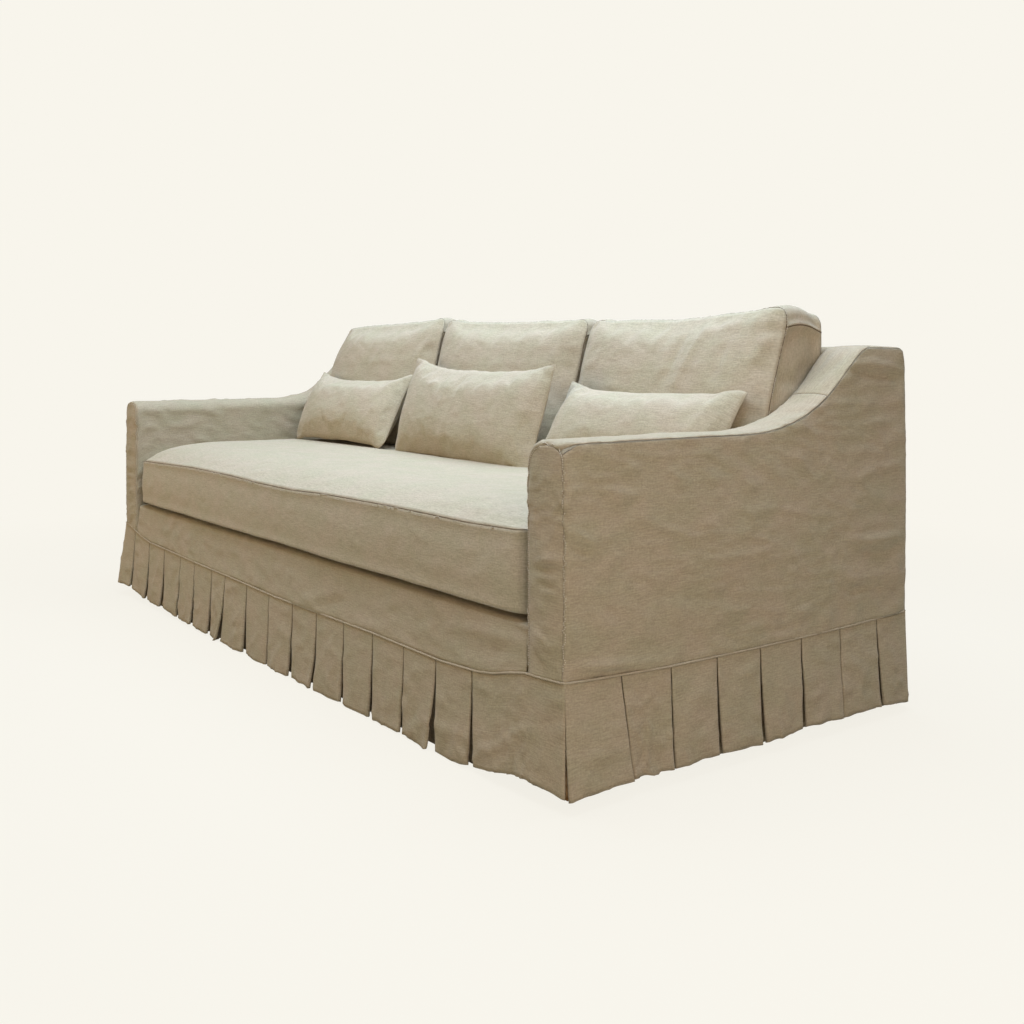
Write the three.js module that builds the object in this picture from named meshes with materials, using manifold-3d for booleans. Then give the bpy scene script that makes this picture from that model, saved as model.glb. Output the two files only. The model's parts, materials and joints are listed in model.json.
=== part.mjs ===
// Slipcovered three-seat sofa: scooped arms, a straight back, a bench seat cushion, three loose
// back cushions, three lumbar pillows and a pleated skirt over a hardwood frame.
// Millimetres, X to the right, Y to the back, Z up, origin on the floor under the middle.

import * as THREE from "three";
import { mergeVertices } from "three/addons/utils/BufferGeometryUtils.js";
import Module from "manifold-3d";

const wasm = await Module();
wasm.setup();

// Whole sofa
const sofaLength = 2400; // over the outside arm panels
const sofaDepth = 1020; // arm fronts to outside back
const armTopHeight = 659;
const backTopHeight = 837;
const armWidth = 112;

// Fits
const fitGap = 0.3; // between pieces that touch
const sideEase = 3; // beside each loose cushion
const overrun = 20; // how far a cutting shape runs past what it cuts

// Scooped arm line, seen from the side
const backTopDepth = 132; // flat top of the back
const scoopLength = 408;
const scoopFrontPull = 280; // reach of the curve's front handle
const scoopRearPull = 80;
const rearCornerRadius = 25;
const armInnerRadius = 30; // soft inner edge of the arm top
const armFadeLength = 200; // over which that edge sharpens towards the back
const armOuterRadius = 14;
const armFrontRound = 5; // turned edge round the front panel

// Inside back
const backBaseDepth = 180; // from the outside back to the inside back at the deck
const backCrestDepth = 135; // the same at the top
const crestRadius = 16;

// Upholstery layers
const coverThick = 3;
const armPadThick = 12;
const backPadThick = 25;
const backTopPadThick = 12;
const deckPadThick = 28;
const deckRollRadius = 40; // soft front edge of the deck

// Hardwood frame
const boardThick = 28;
const railTopHeight = 291;
const railHeight = 135;
const postWidth = 56;
const crossRailShare = 0.49; // of the way from the middle to the arm frame
const crossRailHeight = 90;
const backRailInset = 32; // seat back rail, behind the inside back line at the deck
const cornerBlockSize = 80;
const cornerBlockHeight = 70;

// Legs
const legTopWidth = 64;
const legFootWidth = 44;
const legEndInset = 68; // leg centre in from the outside arm
const legFrontInset = 67; // leg centre back from the arm front
const legRearInset = 70;
const legHoleEase = 1;
const dustCoverThick = 2;
const dustCoverInset = 6; // in from the outer faces of the rails

// Seat springs
const springWire = 4;
const springSwing = 25; // each side of a spring's centre line
const springStep = 54; // from one bend to the next
const springSpacing = 180;
const springFrontInset = 20; // wire end in from the arm fronts
const springRearReach = 25; // wire end past the front of the seat back rail
const tieSpacing = 320;

// Skirt
const skirtTopHeight = 231; // corded seam at the corners
const skirtDrop = 187;
const skirtThick = 11;
const hemFlare = 11;
const frontSag = 40; // how far the front seam hangs down between the arms
const sagPlaceShares = [0.55, 0.75, 0.84, 0.93, 1];
const sagDropShares = [1, 0.96, 0.84, 0.45, 0];
const pleatSpacing = 131;
const slitTopWidth = 2;
const slitHemWidth = 14;
const slitDepth = 7;
const panelBelly = 2; // how far a panel stands out between its slits at the hem
const cordDiameter = 6; // piped cord along the skirt seam
const cordStand = 3;

// Bench seat cushion
const seatRearEase = 3;
const seatEdgeThick = 153;
const seatCrown = 42;
const seatDrawIn = 6;
const seatCornerRadius = 38;
const seatEdgeRound = 12;
const seatZipShare = 0.69; // of the cushion's width
const seatFootDrawIn = 14; // bottom edge, at the ends
const seatTopShares = [0.97, 0.9, 0.78, 0.6, 0.3];
const seatFillShares = [0.8, 0.5];
const seatFrontPower = 4; // soft rise of the crown behind the front edge
const seatEndPower = 24; // full against the arms and under the back cushions

// Loose back cushions
const backCushionPlaces = { left: -1, centre: 0, right: 1 };
const backCushionHeight = 396;
const backCushionFootDepth = 195;
const backCushionTopDepth = 113;
const backCushionLean = 8; // how far the rear face leans back over its height
const backCrown = 24;
const backDrawIn = 9;
const backCornerRadius = 36;
const backZipShare = 0.72; // of the cushion's width
const backZipHeightShare = 0.25;
const backRimDrawIn = 11; // rear face, at the ends
const backRimDepthShare = 0.06; // thickness over which the edges round off
const backTopShares = [0.97, 0.86, 0.65, 0.35];
const backCrownPower = 4;

// Cushion covers and fillings
const sewnWall = 9; // cloth and wadding round the filling
const zipWidth = 12;

// Lumbar pillows
const pillowWidthShare = 0.85; // of the back cushion's width
const pillowHeight = 268;
const pillowThick = 112;
const pillowSeam = 6;
const pillowDrawIn = 13;
const pillowSlotShare = 0.65; // of the pillow's width
const pillowSlotWidth = 3;
const pillowEase = 1; // in front of the back cushion's crown
const pillowFillInset = 20; // filling in from the pillow's edges
const pillowTopShares = [0.93, 0.75, 0.5, 0.2];
const pillowFillShares = [0.75, 0.35];
// Each pillow's shift, as a share of the room that its back cushion leaves it, and its lean
const pillowSpots = {
  left: { shiftShare: 0.41, leanDegrees: 26 },
  centre: { shiftShare: 0.43, leanDegrees: 19 },
  right: { shiftShare: 0, leanDegrees: 29 },
};

// Facets of the curves
const quarterTurn = Math.PI / 2;
const scoopSteps = 10;
const arcSteps = 4;
const crestSteps = 3;
const edgeSteps = 2;
const seatSteps = { long: 10, short: 5, corner: 3 };
const seatFillSteps = { long: 2, short: 2, corner: 1 };
const backSteps = { long: 6, short: 4, corner: 2 };
const backFillSteps = { long: 2, short: 2, corner: 1 };
const pillowSteps = { long: 7, short: 4, corner: 0 };
const pillowFillSteps = { long: 3, short: 2, corner: 0 };

// Worked out from the sizes above
const halfLength = sofaLength / 2;
const halfDepth = sofaDepth / 2;
const armInnerX = halfLength - armWidth;
const coverInset = coverThick + fitGap;
const padInset = coverInset + armPadThick + fitGap;
const frameInnerX = armInnerX + padInset;
const frameOuterX = halfLength - padInset;
const frameFace = halfDepth - skirtThick - fitGap;
const frameEndX = halfLength - skirtThick - fitGap;
const railBottomHeight = railTopHeight - railHeight;
const springTopHeight = railTopHeight + fitGap + springWire;
const deckPadBottom = springTopHeight + fitGap;
const deckPadTop = deckPadBottom + deckPadThick;
const deckTopHeight = deckPadTop + fitGap + coverThick;
const deckHalfLength = frameInnerX - fitGap;
const backSlope = (backBaseDepth - backCrestDepth) / (backTopHeight - deckTopHeight);
const backStretch = Math.hypot(1, backSlope);
const seatBottom = deckTopHeight + fitGap;
const seatRestHeight = seatBottom + seatEdgeThick + seatCrown;
const seatHalfWidth = armInnerX - sideEase;
const seatRearY = insideBackY(seatBottom) - seatRearEase;
const seatHalfDepth = (seatRearY + halfDepth - sideEase) / 2;
const seatCentreY = seatRearY - seatHalfDepth;
const cushionBottom = seatRestHeight + fitGap;
const cushionRearY = insideBackY(cushionBottom) - fitGap;
const backCushionCount = Object.keys(backCushionPlaces).length;
const backCushionWidth = (2 * armInnerX - (backCushionCount + 1) * sideEase) / backCushionCount;
const cushionSpacing = backCushionWidth + sideEase;
const uprightX = cushionSpacing / 2;
const crossRailX = frameInnerX * crossRailShare;
const pillowWidth = backCushionWidth * pillowWidthShare;
const topRailZ = [
  backTopHeight - coverInset - backTopPadThick - fitGap - boardThick,
  backTopHeight - coverInset - backTopPadThick - fitGap,
];
const springStartY = springFrontInset - halfDepth;
const springEndY = halfDepth - backBaseDepth + backRailInset + springRearReach;

// Where the inside back surface stands at a height
function insideBackY(height) {
  return halfDepth - backBaseDepth + (height - deckTopHeight) * backSlope;
}

// Front edge of the back boards at a height, behind cover and padding
function backBoardY(height) {
  return insideBackY(height) + (coverInset + backPadThick + fitGap) * backStretch;
}

const linen = new THREE.MeshStandardMaterial({ color: 0xb3a88e, roughness: 0.95, metalness: 0 });
const linenSeat = new THREE.MeshStandardMaterial({ color: 0xc9c1ab, roughness: 0.95, metalness: 0 });
const wadding = new THREE.MeshStandardMaterial({ color: 0xe9e6df, roughness: 1, metalness: 0 });
const filling = new THREE.MeshStandardMaterial({ color: 0xe8dfbf, roughness: 1, metalness: 0 });
const hardwood = new THREE.MeshStandardMaterial({ color: 0xb58b5c, roughness: 0.6, metalness: 0 });
const springSteel = new THREE.MeshStandardMaterial({ color: 0x73757a, roughness: 0.35, metalness: 1 });
const darkCloth = new THREE.MeshStandardMaterial({ color: 0x2c2b2a, roughness: 0.95, metalness: 0 });
const zipPlastic = new THREE.MeshStandardMaterial({ color: 0xa39b88, roughness: 0.5, metalness: 0 });

const sofa = new THREE.Group();

function addPart(name, geometry, material) {
  const mesh = new THREE.Mesh(geometry, material);
  mesh.name = name;
  sofa.add(mesh);
}

function signedArea(points) {
  return points.reduce((sum, point, index) => {
    const next = points[(index + 1) % points.length];
    return sum + point[0] * next[1] - next[0] * point[1];
  }, 0);
}

// Triangles across a ring of points, turned the same way as the ring
function capTriangles(ring) {
  const planes = [[1, 2], [2, 0], [0, 1]];
  const flats = planes.map(([a, b]) => ring.map((point) => [point[a], point[b]]));
  const flat = flats.reduce((best, next) => (
    Math.abs(signedArea(next)) > Math.abs(signedArea(best)) ? next : best
  ));
  const contour = flat.map(([a, b]) => new THREE.Vector2(a, b));
  const ringTurn = Math.sign(signedArea(flat));
  return THREE.ShapeUtils.triangulateShape(contour, []).map((triangle) => {
    const turn = Math.sign(signedArea(triangle.map((index) => flat[index])));
    return turn === ringTurn ? triangle : [...triangle].reverse();
  });
}

// A closed solid through rings of as many points each, capped at both ends
function loft(rings) {
  const count = rings[0].length;
  const indices = [];
  for (let level = 0; level < rings.length - 1; level += 1) {
    for (let index = 0; index < count; index += 1) {
      const next = (index + 1) % count;
      const [a, b] = [level * count + index, level * count + next];
      const [c, d] = [b + count, a + count];
      indices.push(a, b, c, a, c, d);
    }
  }
  const last = (rings.length - 1) * count;
  capTriangles(rings[0]).forEach(([a, b, c]) => indices.push(c, b, a));
  capTriangles(rings[rings.length - 1]).forEach(([a, b, c]) => {
    indices.push(last + a, last + b, last + c);
  });
  const points = rings.flat();
  if (volumeOf(points, indices) < 0) indices.reverse();
  const geometry = new THREE.BufferGeometry();
  geometry.setAttribute("position", new THREE.Float32BufferAttribute(points.flat(), 3));
  geometry.setIndex(indices);
  geometry.computeVertexNormals();
  return geometry;
}

function volumeOf(points, indices) {
  let sum = 0;
  for (let index = 0; index < indices.length; index += 3) {
    const [a, b, c] = [0, 1, 2].map((step) => new THREE.Vector3(...points[indices[index + step]]));
    sum += a.dot(b.cross(c));
  }
  return sum;
}

function solidOf(geometry) {
  const bare = geometry.clone();
  bare.deleteAttribute("normal");
  bare.deleteAttribute("uv");
  const merged = mergeVertices(bare);
  return new wasm.Manifold(new wasm.Mesh({
    numProp: 3,
    vertProperties: new Float32Array(merged.attributes.position.array),
    triVerts: new Uint32Array(merged.index.array),
  }));
}

function geometryOf(solid) {
  const mesh = solid.getMesh();
  const geometry = new THREE.BufferGeometry();
  geometry.setAttribute("position", new THREE.Float32BufferAttribute(mesh.vertProperties, 3));
  geometry.setIndex([...mesh.triVerts]);
  geometry.computeVertexNormals();
  return geometry;
}

function cut(geometry, ...tools) {
  return geometryOf(tools.reduce((solid, tool) => solid.subtract(solidOf(tool)), solidOf(geometry)));
}

function join(geometry, ...others) {
  return geometryOf(others.reduce((solid, other) => solid.add(solidOf(other)), solidOf(geometry)));
}

function block([lowX, highX], [lowY, highY], [lowZ, highZ]) {
  const geometry = new THREE.BoxGeometry(highX - lowX, highY - lowY, highZ - lowZ);
  return geometry.translate((lowX + highX) / 2, (lowY + highY) / 2, (lowZ + highZ) / 2);
}

// A span on the positive side, or its mirror image
function spanOn(side, low, high) {
  return side > 0 ? [low, high] : [-high, -low];
}

function shapeOf(outline) {
  return new THREE.Shape(outline.map(([a, b]) => new THREE.Vector2(a, b)));
}

// An outline of Y and Z values, drawn out along X
function alongX(outline, [lowX, highX]) {
  const geometry = new THREE.ExtrudeGeometry(shapeOf(outline), {
    depth: highX - lowX,
    bevelEnabled: false,
  });
  const turn = new THREE.Matrix4().makeBasis(
    new THREE.Vector3(0, 1, 0),
    new THREE.Vector3(0, 0, 1),
    new THREE.Vector3(1, 0, 0),
  );
  return geometry.applyMatrix4(turn).translate(lowX, 0, 0);
}

// A shape in X and Y, drawn upwards
function alongZ(shape, [lowZ, highZ]) {
  const settings = { depth: highZ - lowZ, bevelEnabled: false };
  return new THREE.ExtrudeGeometry(shape, settings).translate(0, 0, lowZ);
}

function direction(from, to) {
  const length = Math.hypot(to[0] - from[0], to[1] - from[1]);
  return [(to[0] - from[0]) / length, (to[1] - from[1]) / length];
}

// An open line moved sideways, to the right of the way it runs
function offsetLine(points, distance) {
  const last = points.length - 1;
  return points.map((point, index) => {
    const into = direction(points[Math.max(index - 1, 0)], points[Math.max(index, 1)]);
    const away = direction(points[Math.min(index, last - 1)], points[Math.min(index + 1, last)]);
    const normal = [into[1] + away[1], -into[0] - away[0]];
    const reach = (2 * distance) / (normal[0] ** 2 + normal[1] ** 2);
    return [point[0] + normal[0] * reach, point[1] + normal[1] * reach];
  });
}

// An arc counted in quarter turns, 0 along the first axis and 1 along the second
function quarterArc([centreA, centreB], radius, start, end, steps) {
  return Array.from({ length: steps + 1 }, (_, index) => {
    const angle = (start + ((end - start) * index) / steps) * quarterTurn;
    return [centreA + radius * Math.cos(angle), centreB + radius * Math.sin(angle)];
  });
}

// Arm top line from the front panel to where the rear corner starts
function scoopLine() {
  const scoopEnd = halfDepth - backTopDepth;
  const scoopStart = scoopEnd - scoopLength;
  const curve = new THREE.CubicBezierCurve(
    new THREE.Vector2(scoopStart, armTopHeight),
    new THREE.Vector2(scoopStart + scoopFrontPull, armTopHeight),
    new THREE.Vector2(scoopEnd - scoopRearPull, backTopHeight),
    new THREE.Vector2(scoopEnd, backTopHeight),
  );
  return [[-halfDepth, armTopHeight], ...curve.getPoints(scoopSteps).map(({ x, y }) => [x, y])];
}

function rearCorner() {
  const centre = [halfDepth - rearCornerRadius, backTopHeight - rearCornerRadius];
  return quarterArc(centre, rearCornerRadius, 1, 0, arcSteps);
}

function armProfile(inset) {
  const line = offsetLine([...scoopLine(), ...rearCorner()], inset);
  line[0][0] = inset - halfDepth;
  line[line.length - 1][0] = halfDepth - inset;
  return line;
}

// Section across an arm: up the inside, over the top and down the outside
function armSection(side, y, top, bottom, inset, squeeze) {
  const innerX = armInnerX + inset + squeeze;
  const outerX = halfLength - inset - squeeze;
  const crown = top - squeeze;
  const fade = Math.min(Math.max((halfDepth - backCrestDepth - y) / armFadeLength, 0), 1);
  const innerRadius = Math.max(armInnerRadius * fade - inset, fitGap);
  const outerRadius = Math.max(armOuterRadius - inset, coverThick);
  const outline = [
    [innerX, bottom],
    ...quarterArc([innerX + innerRadius, crown - innerRadius], innerRadius, 2, 1, arcSteps),
    ...quarterArc([outerX - outerRadius, crown - outerRadius], outerRadius, 1, 0, edgeSteps),
    [outerX, bottom],
  ];
  return outline.map(([x, z]) => [side * x, y, z]);
}

function armBody(side, inset, bottom, frontRound) {
  const stations = armProfile(inset).map(([y, top]) => [y, top, 0]);
  if (frontRound > 0) {
    stations[0][2] = frontRound;
    stations.splice(1, 0, [inset + frontRound - halfDepth, armTopHeight - inset, 0]);
  }
  return loft(stations.map(([y, top, squeeze]) => armSection(side, y, top, bottom, inset, squeeze)));
}

// Outline of the back from the deck up, over the top and down the outside
function backProfile() {
  const foot = deckTopHeight + fitGap;
  const crestZ = backTopHeight - crestRadius;
  const crestY = insideBackY(crestZ) + crestRadius;
  return [
    [insideBackY(foot), foot],
    ...quarterArc([crestY, crestZ], crestRadius, 2, 1, crestSteps),
    ...rearCorner(),
    [halfDepth, skirtTopHeight],
  ];
}

// The space inside the back cover, down past the skirt seam
function backHollow(spanX) {
  const line = offsetLine(backProfile(), coverThick);
  const low = skirtTopHeight - overrun;
  line.unshift([line[0][0], low]);
  line.push([line[line.length - 1][0], low]);
  return alongX(line, spanX);
}

// Everything behind the front edges of the back boards
function behindBoards(spanX) {
  const [low, high] = [railBottomHeight - overrun, backTopHeight + overrun];
  return alongX([
    [backBoardY(low) - fitGap, low],
    [halfDepth + overrun, low],
    [halfDepth + overrun, high],
    [backBoardY(high) - fitGap, high],
  ], spanX);
}

function armCover(side) {
  const innerSkin = spanOn(side, armInnerX - overrun, armInnerX + coverInset);
  const belowDeck = block(
    spanOn(side, armInnerX - overrun, halfLength - coverThick),
    [coverThick - halfDepth, halfDepth - coverThick],
    [skirtTopHeight - overrun, deckTopHeight + fitGap],
  );
  return cut(
    armBody(side, 0, skirtTopHeight, armFrontRound),
    armBody(side, coverThick, skirtTopHeight - overrun, armFrontRound),
    belowDeck,
    backHollow(innerSkin),
  );
}

function armPad(side) {
  const foot = deckTopHeight + fitGap;
  const across = spanOn(side, armInnerX - overrun, halfLength + overrun);
  return cut(
    armBody(side, coverInset, foot, armFrontRound),
    armBody(side, coverInset + armPadThick, foot - overrun, 0),
    behindBoards(across),
  );
}

// Top board of the arm: the space inside the padding, less everything under the board
function armRail(side) {
  const underside = offsetLine(scoopLine(), padInset + boardThick);
  const low = railTopHeight;
  const [front, rear] = [-halfDepth - overrun, halfDepth + overrun];
  const below = [[front, low], [front, underside[0][1]], ...underside, [rear, backTopHeight], [rear, low]];
  const wide = spanOn(side, armInnerX, halfLength);
  const body = armBody(side, padInset, low + overrun, 0);
  return cut(body, alongX(below.reverse(), wide), behindBoards(wide));
}

function backCover() {
  const outside = backProfile();
  const inside = offsetLine(outside, coverThick);
  [0, outside.length - 1].forEach((index) => {
    inside[index][1] = outside[index][1];
  });
  return alongX([...outside, ...inside.reverse()], [fitGap - armInnerX, armInnerX - fitGap]);
}

function backPad() {
  const foot = deckTopHeight + fitGap;
  const top = backTopHeight - coverInset;
  const underTop = top - backTopPadThick;
  const rearY = halfDepth - rearCornerRadius;
  const frontY = (height) => insideBackY(height) + coverInset * backStretch;
  const innerY = (height) => frontY(height) + backPadThick * backStretch;
  const crestRound = crestRadius - coverInset;
  const crestZ = top - crestRound;
  return alongX([
    [frontY(foot), foot],
    ...quarterArc([frontY(crestZ) + crestRound, crestZ], crestRound, 2, 1, crestSteps),
    [rearY, top],
    [rearY, underTop],
    [innerY(underTop), underTop],
    [innerY(foot), foot],
  ], [fitGap - armInnerX, armInnerX - fitGap]);
}

// A board of the back, notched at its foot by as much as the two heights say
function backBoard(bottom, notchTop, spanX) {
  const top = topRailZ[0] - fitGap;
  const foot = notchTop > bottom
    ? [[backBoardY(notchTop), notchTop], [springEndY + fitGap, notchTop], [springEndY + fitGap, bottom]]
    : [[backBoardY(bottom), bottom]];
  return alongX([
    ...foot,
    [frameFace, bottom],
    [frameFace, top],
    [backBoardY(top), top],
  ], spanX);
}

// How far the front seam of the skirt hangs down at a place along the sofa
function frontDip(x) {
  const share = Math.abs(x) / armInnerX;
  const next = sagPlaceShares.findIndex((place) => place >= share);
  if (next < 0) return 0;
  if (next === 0) return frontSag * sagDropShares[0];
  const [low, high] = [sagPlaceShares[next - 1], sagPlaceShares[next]];
  const [from, to] = [sagDropShares[next - 1], sagDropShares[next]];
  return frontSag * (from + ((to - from) * (share - low)) / (high - low));
}

const sagKnots = [...sagPlaceShares.map((share) => -share).reverse(), ...sagPlaceShares]
  .map((share) => share * armInnerX);

// Deck and front apron in one cloth, rolled over the front edge
function platformCover() {
  const edge = armInnerX - fitGap;
  const stations = sagKnots.map((x) => Math.max(-edge, Math.min(edge, x)));
  const roll = [deckRollRadius - halfDepth, deckTopHeight - deckRollRadius];
  const rearY = backBoardY(railTopHeight) - fitGap;
  const rings = stations.map((x) => {
    const line = [
      [rearY, deckTopHeight],
      ...quarterArc(roll, deckRollRadius, 1, 2, arcSteps),
      [-halfDepth, skirtTopHeight - frontDip(x)],
    ];
    return [...line, ...offsetLine(line, -coverThick).reverse()].map(([y, z]) => [x, y, z]);
  });
  const sideFlaps = [-1, 1].map((side) => block(
    spanOn(side, edge - overrun, deckHalfLength),
    [roll[0], rearY],
    [deckTopHeight - coverThick, deckTopHeight],
  ));
  return join(loft(rings), ...sideFlaps);
}

function deckPad() {
  const rearY = backBoardY(railTopHeight) - fitGap;
  const roll = [deckRollRadius - halfDepth, deckTopHeight - deckRollRadius];
  const line = offsetLine([
    [rearY, deckTopHeight],
    ...quarterArc(roll, deckRollRadius, 1, 2, arcSteps),
    [-halfDepth, roll[1] - overrun],
  ], -coverInset);
  const across = [-deckHalfLength, deckHalfLength];
  const below = block(
    [-halfLength, halfLength], [-halfDepth, halfDepth], [roll[1] - 2 * overrun, deckPadBottom],
  );
  return cut(alongX([...line, [rearY, roll[1] - overrun]], across), below);
}

// Points along a pleated skirt: each panel from slit to slit, then the slit's own fold
function pleatPoints(halfRun, panelCount, knots) {
  const halfPanel = halfRun / panelCount;
  const reach = halfPanel - slitTopWidth / 2;
  return Array.from({ length: panelCount }, (_, index) => {
    const centre = (2 * index + 1) * halfPanel - halfRun;
    const inPanel = knots.map((knot) => (knot - centre) / reach)
      .filter((share) => Math.abs(share) < 1 && share !== 0);
    const shares = [-1, ...inPanel, 0, 1].sort((a, b) => a - b);
    const points = shares.map((share) => ({ centre, share, fold: false }));
    const isLast = index === panelCount - 1;
    return isLast ? points : [...points, { centre: centre + halfPanel, share: 0, fold: true }];
  }).flat();
}

// One side of the skirt, from section to section along its run. toWorld takes a place along
// the run, a stand-off, a drop and the same place at the seam.
function skirtSide(halfRun, knots, toWorld) {
  const panelCount = Math.round((2 * halfRun) / pleatSpacing);
  const halfPanel = halfRun / panelCount;
  const levels = [
    { drop: 0, stand: 0, slit: slitTopWidth, depth: 0, belly: 0 },
    { drop: cordDiameter / 2, stand: cordStand, slit: slitTopWidth, depth: 0, belly: 0 },
    { drop: cordDiameter, stand: 0, slit: slitTopWidth, depth: slitTopWidth, belly: 0 },
    { drop: skirtDrop, stand: 0, slit: slitHemWidth, depth: slitDepth, belly: panelBelly },
  ];
  const sections = pleatPoints(halfRun, panelCount, knots).map(({ centre, share, fold }) => {
    const atTop = centre + share * (halfPanel - slitTopWidth / 2);
    const isEnd = Math.abs(centre + share * halfPanel) > halfRun - slitTopWidth;
    const flareAt = (drop) => ((hemFlare - panelBelly) * drop) / skirtDrop;
    const placeAt = (drop, slit) => {
      const spread = 1 + flareAt(drop) / halfRun;
      return centre * spread + share * (halfPanel * spread - (isEnd ? 0 : slit / 2));
    };
    const seam = isEnd ? centre + share * halfPanel : atTop;
    const outer = levels.map(({ drop, stand, slit, depth, belly }) => {
      const out = flareAt(drop) + stand + (fold ? -depth : belly * (1 - share ** 2));
      return toWorld(placeAt(drop, slit), out, drop, seam);
    });
    const inner = [levels[levels.length - 1], levels[0]].map(({ drop, slit }) => (
      toWorld(placeAt(drop, slit), flareAt(drop) - skirtThick, drop, seam)
    ));
    return [...outer, ...inner];
  });
  return loft(sections);
}

function skirtFront() {
  return skirtSide(halfLength, sagKnots, (place, out, drop, atTop) => (
    [place, -halfDepth - out, skirtTopHeight - fitGap - frontDip(atTop) - drop]
  ));
}

function skirtBack() {
  return skirtSide(halfLength, [], (place, out, drop) => (
    [place, halfDepth + out, skirtTopHeight - fitGap - drop]
  ));
}

function skirtEnd(side) {
  return skirtSide(halfDepth - skirtThick - fitGap, [], (place, out, drop) => (
    [side * (halfLength + out), place, skirtTopHeight - fitGap - drop]
  ));
}

function springLine(centreX) {
  const run = springEndY - springStartY;
  const bends = Math.round(run / springStep);
  return Array.from({ length: bends + 1 }, (_, index) => (
    [centreX + (index % 2 ? springSwing : -springSwing), springStartY + (index * run) / bends]
  ));
}

function seatSprings() {
  const heights = [railTopHeight + fitGap, springTopHeight];
  const springCount = Math.floor((2 * frameInnerX) / springSpacing);
  const lastX = ((springCount - 1) * springSpacing) / 2;
  const tieEndX = lastX + springSwing + springWire;
  const springs = Array.from({ length: springCount }, (_, index) => {
    const line = springLine(index * springSpacing - lastX);
    const outline = [
      ...offsetLine(line, springWire / 2),
      ...offsetLine(line, -springWire / 2).reverse(),
    ];
    return alongZ(shapeOf(outline), heights);
  });
  const tieMiddle = (springStartY + springEndY) / 2;
  const ties = [-1, 1].map((step) => block(
    [-tieEndX, tieEndX],
    [tieMiddle + (step * tieSpacing) / 2, tieMiddle + (step * tieSpacing) / 2 + springWire],
    heights,
  ));
  return join(ties[0], ties[1], ...springs);
}

function legCentres() {
  const endX = halfLength - legEndInset;
  const frontY = legFrontInset - halfDepth;
  const rearY = halfDepth - legRearInset;
  const middleFrontY = legTopWidth / 2 - frameFace;
  const middleRearY = seatBackRailY()[0] + boardThick / 2;
  return {
    leg_front_left: [-endX, frontY],
    leg_front_middle: [0, middleFrontY],
    leg_front_right: [endX, frontY],
    leg_back_left: [-endX, rearY],
    leg_back_middle: [0, middleRearY],
    leg_back_right: [endX, rearY],
  };
}

function seatBackRailY() {
  const front = halfDepth - backBaseDepth + backRailInset;
  return [front, front + boardThick];
}

function squareRing([x, y], width, z) {
  const corners = [[-1, -1], [1, -1], [1, 1], [-1, 1]];
  return corners.map(([a, b]) => [x + (a * width) / 2, y + (b * width) / 2, z]);
}

function leg(centre) {
  return loft([
    squareRing(centre, legFootWidth, 0),
    squareRing(centre, legTopWidth, railBottomHeight - fitGap),
  ]);
}

// Thin cloth under the frame, cut away round the legs
function dustCover() {
  const top = railBottomHeight - fitGap;
  const heights = [top - dustCoverThick, top];
  const holes = Object.values(legCentres()).map(([x, y]) => {
    const reach = legTopWidth / 2 + legHoleEase;
    return block([x - reach, x + reach], [y - reach, y + reach], [heights[0] - overrun, top + overrun]);
  });
  const [edgeX, edgeY] = [frameEndX - dustCoverInset, frameFace - dustCoverInset];
  return cut(block([-edgeX, edgeX], [-edgeY, edgeY], heights), ...holes);
}

function cornerBlock([x, y], inward, forward) {
  const shape = shapeOf([[x, y], [x + inward * cornerBlockSize, y], [x, y + forward * cornerBlockSize]]);
  return alongZ(shape, [railBottomHeight, railBottomHeight + cornerBlockHeight]);
}

// Places round a rectangle with round corners, as shares of its half width and half height
function outlineShares(halfWidth, halfHeight, radius, steps) {
  const corners = [[1, 1, 0], [-1, 1, 1], [-1, -1, 2], [1, -1, 3]];
  const arcs = corners.map(([a, b, turn]) => {
    const centre = [a * (halfWidth - radius), b * (halfHeight - radius)];
    return steps.corner > 0
      ? quarterArc(centre, radius, turn, turn + 1, steps.corner)
      : [[a * halfWidth, b * halfHeight]];
  });
  return arcs.flatMap((arc, index) => {
    const count = index % 2 ? steps.short : steps.long;
    const start = arc[arc.length - 1];
    const end = arcs[(index + 1) % arcs.length][0];
    const between = Array.from({ length: count - 1 }, (_, step) => {
      const share = (step + 1) / count;
      return [start[0] + (end[0] - start[0]) * share, start[1] + (end[1] - start[1]) * share];
    });
    return [...arc, ...between];
  }).map(([a, b]) => [a / halfWidth, b / halfHeight]);
}

// Rings of a stuffed form: each level draws the outline in by a share and places it
function stuffedForm(outline, levels, place) {
  return loft(levels.map((level) => (
    outline.map(([u, v]) => place(u * level.share, v * level.share, level))
  )));
}

// How much of a crown's full height stands at a place
function crownShare(u, v, endPower, frontPower, rearPower) {
  const depthPower = v > 0 ? rearPower : frontPower;
  return (1 - Math.abs(u) ** endPower) * (1 - Math.abs(v) ** depthPower);
}

function seatForm() {
  const outline = outlineShares(seatHalfWidth, seatHalfDepth, seatCornerRadius, seatSteps);
  const levels = [
    { share: 1 - seatFootDrawIn / seatHalfWidth, height: 0, crown: 0 },
    { share: 1, height: seatEdgeRound, crown: 0 },
    { share: 1, height: seatEdgeThick, crown: 0 },
    ...seatTopShares.map((share) => ({ share, height: seatEdgeThick, crown: seatCrown })),
  ];
  return stuffedForm(outline, levels, (u, v, { height, crown }) => [
    u * (seatHalfWidth - seatDrawIn * (1 - v ** 2)),
    seatCentreY + v * (seatHalfDepth - seatDrawIn * (1 - u ** 2)),
    seatBottom + height + crown * crownShare(u, v, seatEndPower, seatFrontPower, seatEndPower),
  ]);
}

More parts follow.
